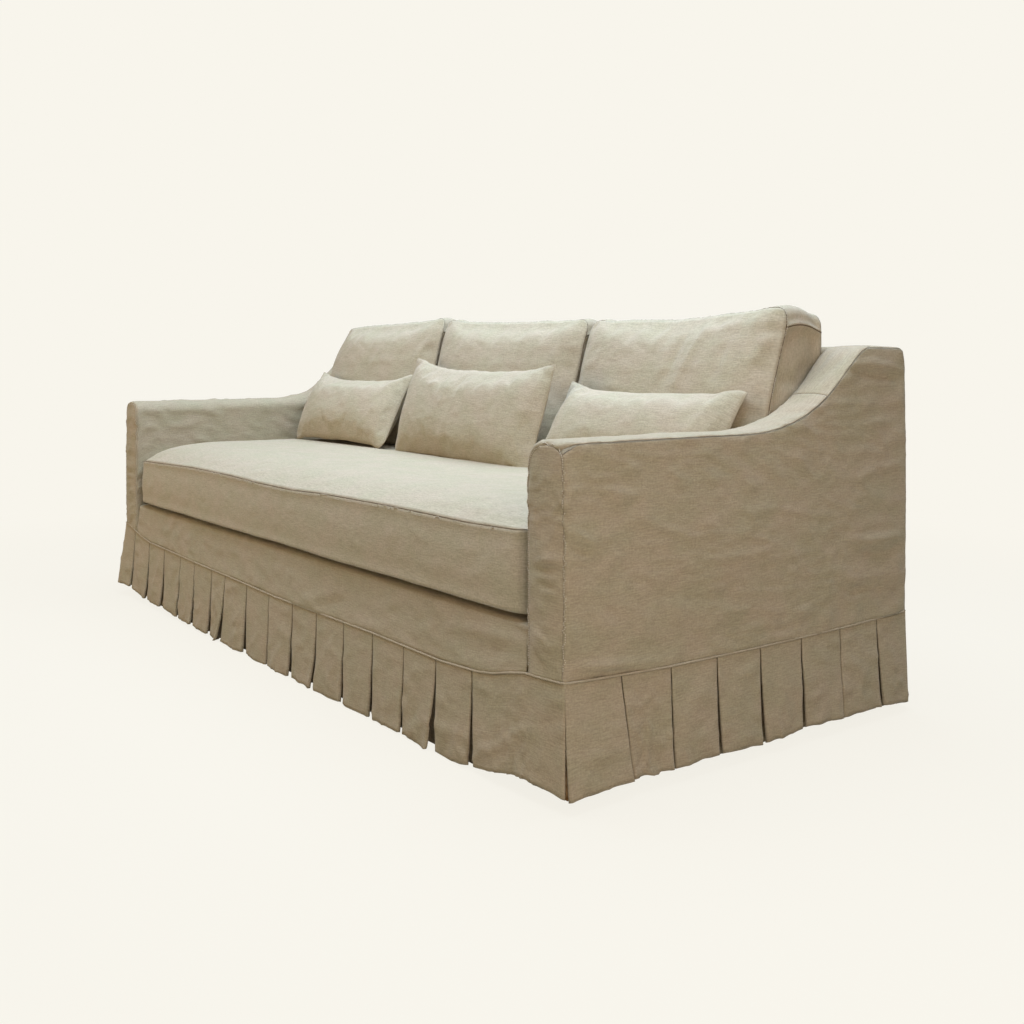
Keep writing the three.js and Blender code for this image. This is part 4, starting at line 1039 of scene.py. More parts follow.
# Path of one row of the skirt, seen from above: x along the side, y out from it
def skirtRow(share, ends, folds, endGaps, panelCounts):
    top, hem = skirt["topDepths"], skirt["hemDepths"]
    near = top[0] + (hem[0] - top[0]) * share
    far = top[1] + (hem[1] - top[1]) * share
    foldRadius, turnRadius = near / 2, (far - near) / 2
    lap, count = skirt["underlap"], skirt["foldPoints"]
    opening = lambda gap: skirt["topGap"] / 2 + gap / 2 * share ** skirt["gapPower"]
    marks = [(ends[0], endGaps[0], 0, 0)] + list(folds) + [(ends[1], endGaps[1], 0, 0)]
    row = []
    for index in range(len(marks) - 1):
        (startPlace, startGap, startLean, _), (endPlace, endGap, endLean, curl) = marks[index:index + 2]
        left = startPlace + startLean * share + opening(startGap) + foldRadius
        right = endPlace + endLean * share - opening(endGap) - foldRadius
        run = [(left + lap, -near), (left + lap / 2, -near)]
        run += halfCircle((left, -foldRadius), foldRadius, 270, 90, count)
        for step in np.linspace(0, 1, panelCounts[index])[1:-1]:
            swell = skirt["belly"] * share * math.sin(math.pi * step)
            lift = curl * share ** 2.2 * step ** 4
            run.append((left + (right - left) * step, swell + lift))
        lift = curl * share ** 2.2
        run += [(x, y + lift) for x, y in halfCircle((right, -foldRadius), foldRadius, 90, -90, count)]
        run += [(right - lap / 2, -near), (right - lap, -near)]
        if index > 0:
            row += halfCircle((left + lap, -(near + far) / 2), turnRadius, -90, 90, count)
        row += run
        if index < len(marks) - 2:
            row += halfCircle((right - lap, -(near + far) / 2), turnRadius, 90, 270, count)
            across = endPlace + endLean * share
            row += [(across + shift, -far) for shift in (-skirt["underHalf"], 0, skirt["underHalf"])]
    return np.array(row)


def makeSkirt(name, ends, toWorld, seamHeight):
    folds = pleats[name]
    (startGap, startFlare), (endGap, endFlare) = corners[name]
    places = [ends[0]] + [fold[0] for fold in folds] + [ends[1]]
    panelCounts = [max(int((b - a) / skirt["panelStep"]), 6) for a, b in zip(places[:-1], places[1:])]
    shares = np.linspace(0, 1, skirt["rows"])
    rows = np.array([skirtRow(share, ends, folds, (startGap, endGap), panelCounts) for share in shares])
    x, out = rows[:, :, 0], rows[:, :, 1]
    topX = np.repeat(x[:1], len(shares), axis=0)
    down = np.repeat(shares[:, None], x.shape[1], axis=1)
    span = ends[1] - ends[0]
    startward = np.clip(1 - (topX - ends[0]) / skirt["cornerReach"], 0, 1)
    endward = np.clip(1 - (ends[1] - topX) / skirt["cornerReach"], 0, 1)
    flare = skirt["flare"] + (startFlare - skirt["flare"]) * startward ** 2
    flare = flare + (endFlare - skirt["flare"]) * endward ** 2
    out = out + flare * down ** 1.15
    along = x + span * skirt["spread"] * down * (2 * (x - ends[0]) / span - 1)

    def field(across, downward, seed):
        spots = np.stack([across.ravel(), downward.ravel(), np.full(across.size, len(name))], axis=1)
        return noiseField(spots, (1, 1, 1), seed).reshape(across.shape)

    def creased(size, seed):
        ridge = 1 - np.minimum(np.abs(field((topX + 0.05 * down) / size, down * 0.16 / size, seed)) * 4, 1)
        return ridge ** 2

    wave = field(topX / skirt["waveSize"], down * 1.3, 51)
    dent = field(topX / skirt["dentSize"], down * 4, 52)
    out = out + skirt["wave"] * wave * down + skirt["dent"] * dent * np.sqrt(down)
    onPanel = smoothStep(-0.006, -0.001, rows[:, :, 1])
    creases = creased(skirt["creaseSize"], 54)
    out = out + onPanel * skirt["crease"] * creases * np.sqrt(down) * np.clip(wave + 0.6, 0, 1)
    for spot, halfWidth, push, height in crumples[name]:
        near = np.clip(1 - ((topX - spot) / halfWidth) ** 2, 0, 1) * np.sqrt(down)
        out = out + near * (onPanel * height * (creased(skirt["crumpleSize"], 55) - 0.35) - push)
    hem, ripple = [field(topX / size, down * 0, 53) for size in skirt["hemSizes"]]
    world = toWorld(along, out)
    cornerward = np.maximum(startward, endward) ** 2
    drop = skirt["drops"][name] + skirt["cornerDrop"] * cornerward + skirt["hemWave"] * hem * (1 - cornerward)
    drop = (drop + skirt["hemRipple"] * ripple + skirt["underDrop"] * np.maximum(-rows[:, :, 1], 0)) * down
    z = seamHeight(world) - drop
    z = np.maximum(z, skirt["hemClear"] + 0.004 * (1 - down))
    points = np.stack([world[0], world[1], z], axis=2)
    lengths = np.repeat(lengthsAlong(rows[0])[None, :], len(shares), axis=0)
    flatPlaces = np.stack([lengths, -skirt["drops"][name] * down], axis=2)
    piece = makeCloth(f"skirt_{name}_pleated", [(points, flatPlaces)], weld=0.00002, inside=(0, 0, 0.15))
    addSheet(piece, f"skirt_{name}", skirt["clothThick"],
             (round(float(lengths[0, -1]), 2), skirt["drops"][name]), "hung", skirt["sewnOver"][name])


halfLength, halfDepth = sofa["halfLength"], sofa["halfDepth"]
makeSkirt("front", (-halfLength, halfLength), lambda along, out: (along, -halfDepth - out),
          lambda place: seamFront(place[0]))
makeSkirt("back", (-halfLength, halfLength), lambda along, out: (along, halfDepth + out),
          lambda place: np.full(place[0].shape, seamBack))
makeSkirt("right", (-halfDepth, halfDepth), lambda along, out: (halfLength + out, along),
          lambda place: seamSide(1, place[1]))
makeSkirt("left", (-halfDepth, halfDepth), lambda along, out: (-halfLength - out, along),
          lambda place: seamSide(-1, place[1]))
print("skirt made")

# Piped cord in the seam above the skirt, one loop round the sofa
welt = {"radius": 0.0021, "stand": 0.0012, "cornerRadius": 0.010, "step": 0.006}


def weltLine():
    length, depth = sofa["halfLength"] + welt["stand"], sofa["halfDepth"] + welt["stand"]
    radius = welt["cornerRadius"]
    loop = []
    for cornerX, cornerY, start in ((1, -1, 270), (1, 1, 0), (-1, 1, 90), (-1, -1, 180)):
        centre = (cornerX * (length - radius), cornerY * (depth - radius))
        loop += halfCircle(centre, radius, start, start + 90, 6)
    loop.append(loop[0])
    flatLoop = evenLine(np.array([(x, y, 0) for x, y in loop]), welt["step"])[:-1]
    heights = []
    for x, y, _ in flatLoop:
        if abs(x) > length - radius:
            heights.append(float(seamSide(np.sign(x), y)))
        elif y < 0:
            heights.append(float(seamFront(x)))
        else:
            heights.append(seamBack)
    flatLoop[:, 2] = np.array(heights) + 0.001
    return flatLoop


piping = makeTube("skirt_seam_piping", weltLine(), welt["radius"], sides=8, closed=True)
dress(piping, "cord", "sofa")
print("piping made")

# Boxed cushions: two panels and a boxing strip between them, with rounded plan corners.
# place(u, v, w) gives a point; u and v run over the panels, w from the lower or rear one to the other.


def roundPlan(u, v, halfWide, halfHigh, radius):
    dx = np.clip((np.abs(u) * halfWide - halfWide + radius) / radius, 0, 1)
    dy = np.clip((np.abs(v) * halfHigh - halfHigh + radius) / radius, 0, 1)
    pullX, pullY = dx * np.sqrt(1 - dy ** 2 / 2), dy * np.sqrt(1 - dx ** 2 / 2)
    x = np.sign(u) * np.where(dx > 0, halfWide - radius + radius * pullX, np.abs(u) * halfWide)
    y = np.sign(v) * np.where(dy > 0, halfHigh - radius + radius * pullY, np.abs(v) * halfHigh)
    return x / halfWide, y / halfHigh


def boxedPatches(place, halfWide, halfHigh, thick, radius, step, joint=None):
    across, upward = int(2 * halfWide / step), int(2 * halfHigh / step)
    rise = max(int(thick / step), 2)
    us, vs = np.meshgrid(np.linspace(-1, 1, across + 1), np.linspace(-1, 1, upward + 1))
    planU, planV = roundPlan(us, vs, halfWide, halfHigh, radius)
    flat = np.stack([us * halfWide, vs * halfHigh], axis=2)
    panels = [(place(planU, planV, np.full(us.shape, w)), flat + w * halfHigh * 3) for w in (-1.0, 1.0)]
    edgeU = np.concatenate([us[0, :-1], us[:-1, -1], us[-1, :0:-1], us[:0:-1, 0], us[0, :1]])
    edgeV = np.concatenate([vs[0, :-1], vs[:-1, -1], vs[-1, :0:-1], vs[:0:-1, 0], vs[0, :1]])
    roundU, roundV = roundPlan(edgeU, edgeV, halfWide, halfHigh, radius)
    ws = np.linspace(-1, 1, rise + 1)
    boxing = place(
        np.repeat(roundU[None, :], rise + 1, axis=0), np.repeat(roundV[None, :], rise + 1, axis=0),
        np.repeat(ws[:, None], len(roundU), axis=1),
    )
    run = np.concatenate([[0], np.cumsum(np.hypot(np.diff(edgeU) * halfWide, np.diff(edgeV) * halfHigh))])
    boxingFlat = np.stack([
        np.repeat(run[None, :], rise + 1, axis=0), np.repeat(ws[:, None] * thick / 2, len(run), axis=1),
    ], axis=2)
    seams = {"lower": boxing[0], "upper": boxing[-1]}
    if joint is not None:
        seams["joint"] = boxing[:, int(np.argmin(np.abs(edgeV - joint) + 9 * (edgeU < 1)))]
    return panels + [(boxing, boxingFlat)], seams


# Blows a stuffed piece up as cloth, with its seams drawn in, and keeps each point near its start
def puff(piece, seamIndices, settings, limit):
    start = readPoints(piece)
    group = piece.vertex_groups.new(name="seams")
    group.add([int(index) for index in seamIndices], 1.0, "REPLACE")
    modifier = piece.modifiers.new("cloth", "CLOTH")
    cloth = modifier.settings
    cloth.quality = settings["quality"]
    cloth.mass = 0.3
    cloth.tension_stiffness = cloth.compression_stiffness = settings["stiffness"]
    cloth.shear_stiffness = settings["stiffness"] / 3
    cloth.bending_stiffness = settings["bending"]
    cloth.air_damping = 2
    cloth.use_pressure = True
    cloth.uniform_pressure_force = settings["pressure"]
    cloth.shrink_min = settings["slack"]
    cloth.shrink_max = settings["drawIn"]
    cloth.vertex_group_shrink = "seams"
    cloth.effector_weights.gravity = 0
    modifier.collision_settings.use_collision = False
    modifier.point_cache.frame_start, modifier.point_cache.frame_end = 1, settings["frames"]
    for number in range(1, settings["frames"] + 1):
        scene.frame_set(number)
    graph = bpy.context.evaluated_depsgraph_get()
    blown = piece.evaluated_get(graph).to_mesh()
    after = np.zeros(len(blown.vertices) * 3)
    blown.vertices.foreach_get("co", after)
    piece.evaluated_get(graph).to_mesh_clear()
    piece.modifiers.remove(modifier)
    piece.vertex_groups.clear()
    scene.frame_set(1)
    move = after.reshape(-1, 3) - start
    length = np.linalg.norm(move, axis=1, keepdims=True)
    cap = np.full(length.shape, settings["cap"])
    cap[seamIndices] = settings["seamCap"]
    move *= np.where(length > 1e-9, cap * np.tanh(length / cap) / np.maximum(length, 1e-9), 1)
    writePoints(piece, limit(start + move))


# Finishes a stuffed piece: one subdivision, its seams cut, and the upper seam topstitched
def finishStuffed(piece, seams, cut, body, limit, away):
    for indices in seams.values():
        markSeam(piece, indices, cut["crisp"])
    finishWith(piece, "SUBSURF", levels=1, render_levels=1)
    points = limit(readPoints(piece))
    writePoints(piece, points)
    cutSeams(piece, cut["width"], cut["depth"])
    dress(piece, "cushion", body, seamed=True)
    line = evenLine(points[seams["upper"]], seamStep)[:-1]
    stitches = stitchBeside(piece, line, cut["stitchOffset"], away, closed=True)
    dress(stitches, "thread", body)


# Bench seat cushion: its front edge stands over the apron, and the front seam droops at the left end
seat = {
    "halfWidth": (seatHigh.x - seatLow.x) / 2,
    "front": seatLow.y + 0.003,
    "rear": seatHigh.y - 0.001,
    "bottom": seatLow.z + 0.0004,
    "seamPlaces": [-1.08, -1.03, -0.84, -0.60, -0.30, -0.10, 0.10, 0.28, 0.60, 0.90, 1.08],
    "seamHeights": [0.457, 0.468, 0.474, 0.481, 0.481, 0.476, 0.475, 0.482, 0.485, 0.483, 0.487],
    "sideSeam": 0.480,
    "crownTop": 0.5205,
    "frontFade": 0.058,   # how fast the top rises behind the front seam
    "sideFade": 0.035,
    "rearFade": 0.020,
    "frontLift": 0.0015,
    "liftReach": 0.035,
    "frontBow": 0.011,    # how far the middle of the front stands out
    "boxingSwell": 0.007,
    "drawIn": 0.005,
    "radius": 0.040,
    "step": 0.0155,
    "cut": {"crisp": 0.55, "width": 0.0013, "depth": 0.0030, "stitchOffset": 0.0060},
    "coreInset": 0.014,
    "coreStep": 0.03,
    "sideGap": 0.0015,    # what it keeps from the arms, and from its solid in front, behind and on top
    "frontReach": 0.016,
    "rearGap": 0.0058,
    "topReach": 0.006,
    "backFrom": 0.02,     # from here to the rear the back cushions stand on it
    "swells": [((0.45, 0.30, 0.2), 0.0030, 61), ((0.13, 0.10, 0.08), 0.0012, 62)],
    "creases": [((0.28, 0.07, 0.2), 0.0010, 63)],
    "cloth": {"quality": 5, "stiffness": 18, "bending": 1.2, "pressure": 3.2, "slack": -0.006,
              "drawIn": 0.03, "frames": 18, "cap": 0.009, "seamCap": 0.003},
}
seatThick = seat["sideSeam"] - seat["bottom"]


def seatPlace(inset):
    halfWide = seat["halfWidth"] - inset
    halfDeep = (seat["rear"] - seat["front"]) / 2 - inset
    middleY = (seat["rear"] + seat["front"]) / 2

    def place(u, v, w):
        level = (w + 1) / 2
        swell = seat["boxingSwell"] * np.sin(math.pi * level)
        edge = np.maximum(np.abs(u), np.abs(v)) ** 14
        x = u * (halfWide - seat["drawIn"] * (1 - v ** 2))
        y = middleY + v * (halfDeep - seat["drawIn"] * (1 - u ** 2) * (v > 0))
        frontShare = smoothStep(0.6, 1, -v)
        y = y - (swell * edge + seat["frontBow"] * (1 - u ** 6)) * frontShare
        fromFront = (v + 1) * halfDeep
        fromSide = (1 - np.abs(u)) * halfWide
        fromRear = (1 - v) * halfDeep
        frontSeam = np.interp(x, seat["seamPlaces"], seat["seamHeights"])
        seamZ = seat["sideSeam"] + (frontSeam - seat["sideSeam"]) * smoothStep(-0.2, -0.9, v)
        rise = (1 - np.exp(-fromFront / seat["frontFade"])) * (1 - np.exp(-fromSide / seat["sideFade"]))
        rise *= 1 - np.exp(-fromRear / seat["rearFade"])
        top = seamZ + (seat["crownTop"] - seamZ) * rise - inset
        low = seat["bottom"] + seat["frontLift"] * smoothStep(seat["liftReach"], 0, fromFront) + inset
        onPanel = np.abs(w) > 0.999
        height = np.where(onPanel & (w > 0), top, low + (seamZ - inset - low) * level)
        return np.stack([x, y, height], axis=-1)

    return place, halfWide, halfDeep


def keepSeat(points):
    points = points.copy()
    reach = sofa["armInner"] - seat["sideGap"]
    points[:, 0] = np.clip(points[:, 0], -reach, reach)
    points[:, 1] = np.clip(points[:, 1], seatLow.y - seat["frontReach"], seatHigh.y - seat["rearGap"])
    points[:, 2] = np.maximum(points[:, 2], seat["bottom"])
    underBack = points[:, 1] > seat["backFrom"]
    points[underBack, 2] = np.minimum(points[underBack, 2], seatHigh.z)
    points[:, 2] = np.minimum(points[:, 2], seatHigh.z + seat["topReach"])
    return points


def seatPatches(inset, step):
    place, halfWide, halfDeep = seatPlace(inset)
    return boxedPatches(place, halfWide, halfDeep, seatThick - 2 * inset, seat["radius"], step)


patches, seams = seatPatches(0, seat["step"])
middle = (0, -0.1, 0.42)
seatCover = makeCloth("seat_cushion_slipcover", patches, inside=middle)
seatSeams = {key: nearestIndices(seatCover, line) for key, line in seams.items()}
puff(seatCover, sum(seatSeams.values(), []), seat["cloth"], keepSeat)
rumple(seatCover, seat["swells"], seat["creases"])
finishStuffed(seatCover, seatSeams, seat["cut"], "seat_cushion", keepSeat, (0, -0.1, 2.0))
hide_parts("seat_cushion_cover")
addCore("seat_cushion_core", seatPatches(seat["coreInset"], seat["coreStep"])[0], middle, "seat_cushion")
print("seat cushion made")

# Loose back cushions, thicker at the foot. Each crest is the height of its front seam from left to
# right, and the depths go with the shares of the cushion's height.
backCushion = {
    "heightShares": (0, 0.45, 0.86, 1),
    "depths": (0.182, 0.138, 0.098, 0.080),
    "rightEndDepths": (0.204, 0.178, 0.126, 0.120),
    "lean": 0.008,
    "crown": 0.034,
    "drawIn": 0.001,
    "radius": 0.030,
    "step": 0.0115,
    "cut": {"crisp": 0.45, "width": 0.0017, "depth": 0.0038, "stitchOffset": 0.0060},
    "coreInset": 0.018,
    "coreStep": 0.025,
    "coreCut": 0.03,      # how much thinner the filling is
    "footGap": 0.0004,
    "rearGap": 0.0008,
    "topReach": 0.034,    # how far it may stand over its solid, and behind it
    "rearReach": 0.006,
    "wallDrop": 0.02,     # below the back's top by this much it leans on the cloth
    "swells": [((0.26, 0.2, 0.34), 0.0060, 71), ((0.08, 0.09, 0.14), 0.0018, 75)],
    "creases": [((0.07, 0.2, 0.30), 0.0024, 79), ((0.20, 0.2, 0.08), 0.0012, 83)],
    "boxingSwell": 0.011,
    "rearDrop": 0.012,    # rear top edge under the front one
    "joint": 0.76,        # where the boxing strip is pieced at its right end
    "sideReach": 0.0038,  # pressed against its neighbour
    "cloth": {"quality": 5, "stiffness": 14, "bending": 0.6, "pressure": 3.6, "slack": -0.012,
              "drawIn": 0.030, "frames": 20, "cap": 0.014, "seamCap": 0.0012},
}
crests = {
    "left": (0.929, 0.934, 0.937, 0.941, 0.947),
    "centre": (0.939, 0.934, 0.929, 0.925, 0.920),
    "right": (0.917, 0.917, 0.910, 0.921, 0.927),
}
slumps = {"left": -0.055, "centre": -0.004, "right": -0.006}  # upper left corners drawn in
cushionFolds = {  # by place along the sofa and height
    "left": [((-0.385, 0.907), (-0.466, 0.789), 0.014, 0.0040),
             ((-0.713, 0.907), (-0.777, 0.791), 0.014, 0.0025)],
    "centre": [((0.314, 0.902), (0.261, 0.774), 0.016, 0.0045),
               ((0.379, 0.895), (0.341, 0.775), 0.014, -0.0040),
               ((0.130, 0.918), (0.116, 0.802), 0.012, 0.0025)],
    "right": [((0.730, 0.902), (0.673, 0.833), 0.012, 0.0050),
              ((0.799, 0.890), (0.751, 0.748), 0.013, -0.0060),
              ((0.865, 0.898), (0.792, 0.734), 0.013, 0.0060),
              ((0.957, 0.877), (0.916, 0.748), 0.014, -0.0035),
              ((1.063, 0.883), (1.017, 0.780), 0.014, 0.0040)],
}


def backCushionPlace(name, low, high, inset):
    centreX = (low.x + high.x) / 2
    halfWide = (high.x - low.x) / 2 + backCushion["sideReach"] - inset
    bottom = low.z + backCushion["footGap"]
    rearFoot = float(insideBack(bottom)) - backCushion["rearGap"]
    halfTall = (high.z - bottom) / 2

    def place(u, v, w):
        level = (w + 1) / 2
        height = (v + 1) / 2
        swell = backCushion["boxingSwell"] * np.sin(math.pi * level)
        topward = smoothStep(0.1, 1, v)
        edge = np.maximum(np.abs(u), np.abs(v)) ** 12
        crest = np.interp(u, (-1, -0.5, 0, 0.5, 1), crests[name])
        crest = crest - backCushion["rearDrop"] * (1 - level) ** 2
        z = bottom + inset + (crest - bottom - 2 * inset) * height + swell * edge * topward
        x = centreX + u * (halfWide - backCushion["drawIn"] * (1 - v ** 2))
        x = x - slumps[name] * np.maximum(-u, 0) ** 3 * topward ** 2
        rear = rearFoot + backCushion["lean"] * height - inset
        depth = np.interp(height, backCushion["heightShares"], backCushion["depths"])
        if name == "right":
            endDepth = np.interp(height, backCushion["heightShares"], backCushion["rightEndDepths"])
            depth = depth + (endDepth - depth) * smoothStep(-0.6, 1, u)
        stand = backCushion["crown"] * (1 - np.abs(u) ** 3) * (1 - np.abs(v) ** 3.4) ** 0.8
        front = rear - depth + 2 * inset
        y = np.where(w > 0.999, front - stand, rear + (front - rear) * level)
        return np.stack([x, y, z], axis=-1)

    return place, halfWide, halfTall - inset


def keepBackCushion(low, high):
    def limit(points):
        points = points.copy()
        reach = backCushion["sideReach"]
        points[:, 0] = np.clip(points[:, 0], low.x - reach, high.x + reach)
        points[:, 2] = np.clip(points[:, 2], low.z, high.z + backCushion["topReach"])
        below = points[:, 2] < sofa["backTop"] - backCushion["wallDrop"]
        wall = insideBack(points[:, 2]) - sofa["clearance"]
        points[below, 1] = np.minimum(points[below, 1], wall[below])
        points[:, 1] = np.minimum(points[:, 1], high.y + backCushion["rearReach"])
        return points
    return limit


for index, name in enumerate(("left", "centre", "right")):
    low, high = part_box(f"back_cushion_{name}_cover")
    body = f"back_cushion_{name}"
    place, halfWide, halfTall = backCushionPlace(name, low, high, 0)
    depth = backCushion["depths"][1]
    patches, seams = boxedPatches(place, halfWide, halfTall, depth, backCushion["radius"],
                                  backCushion["step"], backCushion["joint"])
    middle = (low + high) / 2
    cushion = makeCloth(f"back_cushion_{name}_slipcover", patches, inside=middle)
    seamIndices = {key: nearestIndices(cushion, line) for key, line in seams.items()}
    limit = keepBackCushion(low, high)
    puff(cushion, sum(seamIndices.values(), []), backCushion["cloth"], limit)
    rumple(cushion, backCushion["swells"], backCushion["creases"], shift=index)
    foldAlong(cushion, cushionFolds[name], [0, 2],
              lambda points, normals: smoothStep(0.3, 0.8, -normals[:, 1]))
    finishStuffed(cushion, seamIndices, backCushion["cut"], body, limit, (middle.x, -2.0, middle.z))
    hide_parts(f"{body}_cover")
    place, halfWide, halfTall = backCushionPlace(name, low, high, backCushion["coreInset"])
    patches, _ = boxedPatches(place, halfWide, halfTall, depth - backCushion["coreCut"],
                              backCushion["radius"], backCushion["coreStep"])
    addCore(f"{body}_core", patches, middle, body)
print("back cushions made")

# Lumbar pillows: two panels sewn edge to edge, with pointed corners
pillow = {
    "thick": 0.124,
    "drawIn": 0.008,
    "topSag": 0.020,
    "footSag": 0.004,
    "footRound": 0.045,
    "seamRadius": 0.0013,
    "coreInset": 0.020,
    "swells": [((0.16, 0.12, 0.3), 0.0050, 91), ((0.05, 0.05, 0.3), 0.0016, 95)],
    "creases": [((0.09, 0.14, 0.3), 0.0026, 99)],
    "cornerDrops": (0, 0, 0.021),  # how much lower the upper right corner hangs, by pillow
    "step": 0.0078,
    "cloth": {"quality": 5, "stiffness": 12, "bending": 0.25, "pressure": 3.0, "slack": -0.018,
              "drawIn": 0.05, "frames": 22, "cap": 0.016, "seamCap": 0.016},
}
# width, height, lean, turn and roll in degrees, and how far it is pushed sideways, back and up
pillowSpots = {
    "left": (0.613, 0.266, 27, -1, 0, (0, 0, 0)),
    "centre": (0.800, 0.316, 15, 4.8, 1.5, (-0.005, -0.020, 0.002)),
    "right": (0.630, 0.258, 30, 1, 0, (0.005, 0.004, -0.004)),
}


# The upper corners are pointed, the lower ones are pressed round
def pillowPatches(width, height, cornerDrop, inset):
    halfWide, halfHigh = width / 2 - inset, height / 2 - inset
    across, upward = int(2 * halfWide / pillow["step"]), int(2 * halfHigh / pillow["step"])
    bend, rise = np.linspace(-1, 1, across + 1), np.linspace(-1, 1, upward + 1)
    u, v = np.meshgrid(*[np.sin(run * math.pi / 2) * 0.35 + run * 0.65 for run in (bend, rise)])
    sag = np.where(v > 0, pillow["topSag"], pillow["footSag"])
    roundU, roundV = roundPlan(u, v, halfWide, halfHigh, pillow["footRound"])
    planU, planV = np.where(v < 0, roundU, u), np.where(v < 0, roundV, v)
    x = planU * (halfWide - pillow["drawIn"] * (1 - v ** 2) * np.abs(u) ** 2)
    y = planV * (halfHigh - sag * (1 - u ** 2) * np.abs(v) ** 2)
    y = y - cornerDrop * np.maximum(u, 0) ** 4 * np.maximum(v, 0) ** 2
    swell = np.maximum((1 - np.abs(u) ** 2.4) * (1 - np.abs(v) ** 2.1), 0) ** 0.62
    half = (pillow["thick"] - 2 * inset) / 2 * swell
    flat = np.stack([u * halfWide, v * halfHigh], axis=2)
    panels = [(np.stack([x, y, face * half], axis=2), flat + face) for face in (-1, 1)]
    edge = [(0, slice(0, -1)), (slice(0, -1), -1), (-1, slice(None, 0, -1)), (slice(None, 0, -1), 0)]
    rim = np.concatenate([panels[0][0][spot] for spot in edge] + [panels[0][0][0, :1]])
    return panels, rim


def pillowTurn(low, high, name):
    _, _, lean, turn, roll, shift = pillowSpots[name]
    lean, turn, roll = math.radians(lean), math.radians(turn), math.radians(roll)
    centre = (low + high) / 2 + Vector(shift)
    up = Vector((0, math.sin(lean), math.cos(lean)))
    out = Vector((0, -math.cos(lean), math.sin(lean)))
    basis = Matrix((Vector((1, 0, 0)), up, out)).transposed().to_4x4()
    return (Matrix.Translation(centre) @ Matrix.Rotation(-turn, 4, "Z") @ basis
            @ Matrix.Rotation(-roll, 4, "Z"))


for index, name in enumerate(("left", "centre", "right")):
    low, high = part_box(f"pillow_{name}_cover")
    body = f"pillow_{name}"
    width, height = pillowSpots[name][:2]
    cornerDrop = pillow["cornerDrops"][index]
    panels, rim = pillowPatches(width, height, cornerDrop, 0)
    turn = pillowTurn(low, high, name)
    case = makeCloth(f"pillow_{name}_case", panels, inside=(0, 0, 0))
    rimIndices = nearestIndices(case, rim)
    puff(case, rimIndices, pillow["cloth"], lambda points: points)
    rumple(case, pillow["swells"], pillow["creases"], shift=index)
    finishWith(case, "SUBSURF", levels=1, render_levels=1)
    points = readPoints(case)
    points *= np.array((width, height, pillow["thick"])) / np.ptp(points, axis=0)
    points = points @ np.array(turn.to_3x3()).T + np.array(turn.translation)
    points[:, 2] = np.maximum(points[:, 2], low.z)
    writePoints(case, points)
    line = evenLine(points[rimIndices], seamStep)[:-1]
    dress(case, "cushion", body)
    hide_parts(f"{body}_cover")
    seam = makeTube(f"pillow_{name}_edge_seam", line, pillow["seamRadius"], closed=True)
    dress(seam, "cord", body)
    corePanels, _ = pillowPatches(width, height, cornerDrop, pillow["coreInset"])
    addCore(f"pillow_{name}_core", corePanels, (0, 0, 0), body, turn)
print("pillows made")

# Frame pieces keep their own shapes and get their finishes
frameFinishes = {"frame_hardwood": "hardwood", "spring_steel": "steel", "dust_cover_cloth": "dustCloth",
                 "zip_plastic": "zip"}
for part in frame["record"]["subparts"]:
    finish = frameFinishes.get(part["material_slot"])
    if finish:
        node = frame["nodes"][part["node"]]
        node.data.materials.clear()
        node.data.materials.append(finishes[finish])
print("frame pieces finished")

# Pale studio: floor and backdrop in one colour. The floor takes light and shadow near the sofa and
# goes over into the plain backdrop tone further out.
stage = {
    "tone": "#F8F5EC",
    "floorTone": "#BDB6A6",   # its diffuse colour
    "shadowShare": 0.12,
    "nearGlow": 1.045,        # makes up for what the diffuse share lacks near the sofa
    "fadeFrom": 1.3,
    "fadeTo": 3.4,
    "reach": 30,
    "fillTone": "#FFF6E4",    # the world's own light
    "fillStrength": 0.05,
}


def paleStage(name):
    material, tree = newMaterial(name)
    rays = addNode(tree, "ShaderNodeLightPath")
    place = addNode(tree, "ShaderNodeTexCoord").outputs["Object"]
    distance = addNode(tree, "ShaderNodeVectorMath", {"operation": "LENGTH"}, links={0: place})
    share = addNode(tree, "ShaderNodeMapRange", {"interpolation_type": "SMOOTHSTEP"},
                    {"From Min": stage["fadeFrom"], "From Max": stage["fadeTo"],
                     "To Min": 1 - stage["shadowShare"], "To Max": 1},
                    {"Value": distance.outputs["Value"]})
    strength = addNode(tree, "ShaderNodeMapRange", {"interpolation_type": "SMOOTHSTEP"},
                       {"From Min": stage["fadeFrom"], "From Max": stage["fadeTo"],
                        "To Min": stage["nearGlow"], "To Max": 1},
                       {"Value": distance.outputs["Value"]})
    diffuse = addNode(tree, "ShaderNodeBsdfDiffuse", values={"Color": linear(stage["floorTone"])})
    glow = addNode(tree, "ShaderNodeEmission", values={"Color": linear(stage["tone"])},
                   links={"Strength": strength.outputs[0]})
    seen = addNode(tree, "ShaderNodeMath", {"operation": "MULTIPLY"},
                   links={0: rays.outputs["Is Camera Ray"], 1: share.outputs[0]})
    mixed = addNode(tree, "ShaderNodeMixShader",
                    links={"Fac": seen.outputs[0], 1: diffuse.outputs[0], 2: glow.outputs[0]})
    finishMaterial(tree, mixed)
    return material


bpy.ops.mesh.primitive_plane_add(size=2 * stage["reach"], location=(0, 0, 0))
floor = bpy.context.active_object
floor.name = "studio_floor"
floor.data.materials.append(paleStage("studio_paper"))

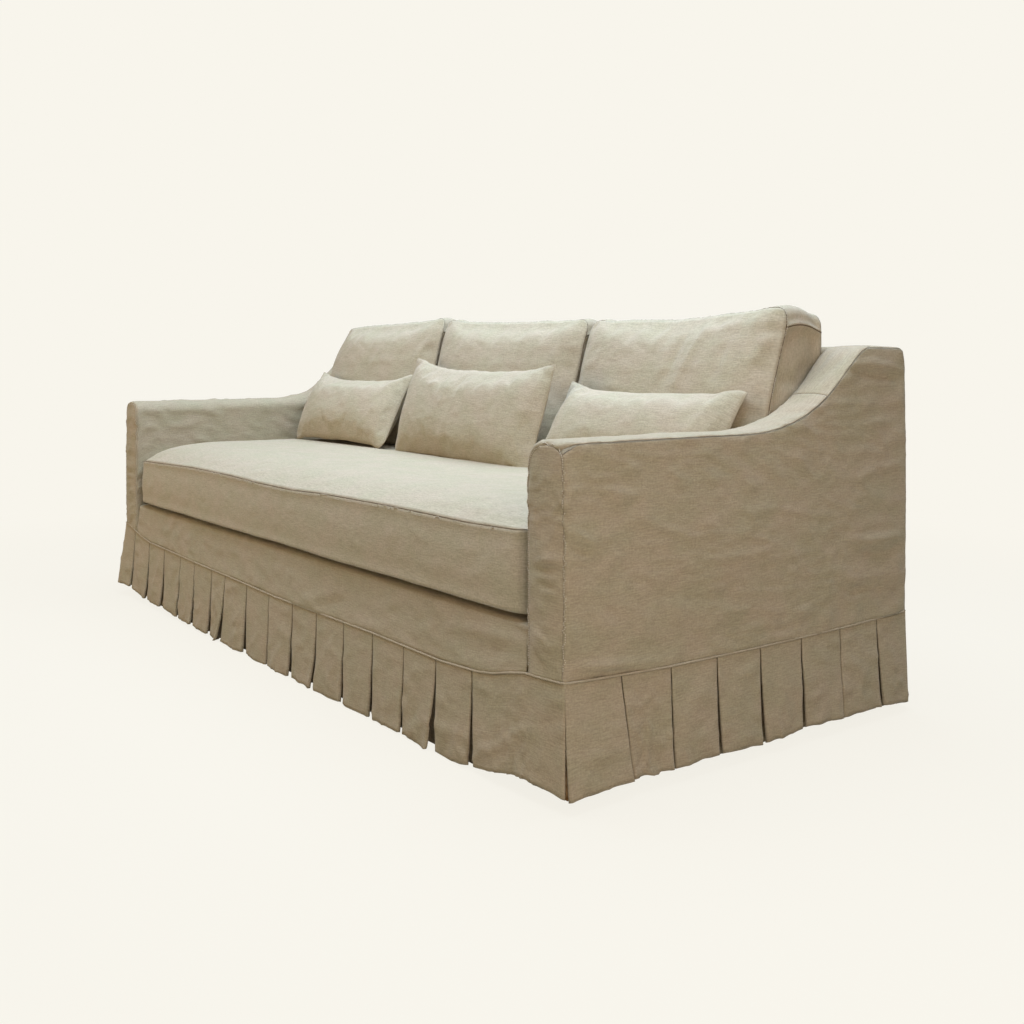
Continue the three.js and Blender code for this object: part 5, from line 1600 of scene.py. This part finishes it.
world = bpy.data.worlds.new("studio")
scene.world = world
world.use_nodes = True
worldTree = world.node_tree
worldTree.nodes.clear()
rays = addNode(worldTree, "ShaderNodeLightPath")
seen = addNode(worldTree, "ShaderNodeMath", {"operation": "MAXIMUM"},
               links={0: rays.outputs["Is Camera Ray"], 1: rays.outputs["Is Glossy Ray"]})
fillLight = addNode(worldTree, "ShaderNodeBackground",
                    values={"Color": linear(stage["fillTone"]), "Strength": stage["fillStrength"]})
backdrop = addNode(worldTree, "ShaderNodeBackground", values={"Color": linear(stage["tone"]), "Strength": 1})
worldMix = addNode(worldTree, "ShaderNodeMixShader",
                   links={"Fac": seen.outputs[0], 1: fillLight.outputs[0], 2: backdrop.outputs[0]})
addNode(worldTree, "ShaderNodeOutputWorld", links={"Surface": worldMix.outputs[0]})

lamps = {  # place, what it points at, size, power, tone
    "overhead_softbox": ((0.2, 0.1, 3.0), (0.1, 0.1, 0.4), 3.4, 212, "#D0E4FF"),
    "front_left_softbox": ((-2.2, -3.6, 1.7), (0, 0, 0.4), 2.4, 60, "#FFE1B6"),
    "right_softbox": ((3.5, -1.2, 1.6), (0.9, 0, 0.4), 2.0, 46, "#FFEFE6"),
}
for name, (place, aim, size, power, tone) in lamps.items():
    lamp = bpy.data.lights.new(name, "AREA")
    lamp.size, lamp.energy, lamp.color = size, power, linear(tone)[:3]
    lampObject = bpy.data.objects.new(name, lamp)
    scene.collection.objects.link(lampObject)
    lampObject.location = place
    lampObject.rotation_euler = (Vector(aim) - Vector(place)).to_track_quat("-Z", "Y").to_euler()

# Camera at the photograph's eye: level, near the right arm, with the horizon above the middle
view = {"place": (2.7405, -1.7752, 0.8033), "turn": 53.272, "lens": 39.57, "shiftY": -0.147}
camera = bpy.data.cameras.new("camera")
camera.lens, camera.sensor_width, camera.shift_y = view["lens"], 36, view["shiftY"]
cameraObject = bpy.data.objects.new("camera", camera)
cameraObject.location = view["place"]
cameraObject.rotation_euler = (math.radians(90), 0, math.radians(view["turn"]))
scene.collection.objects.link(cameraObject)
scene.camera = cameraObject
scene.view_settings.view_transform = "Standard"
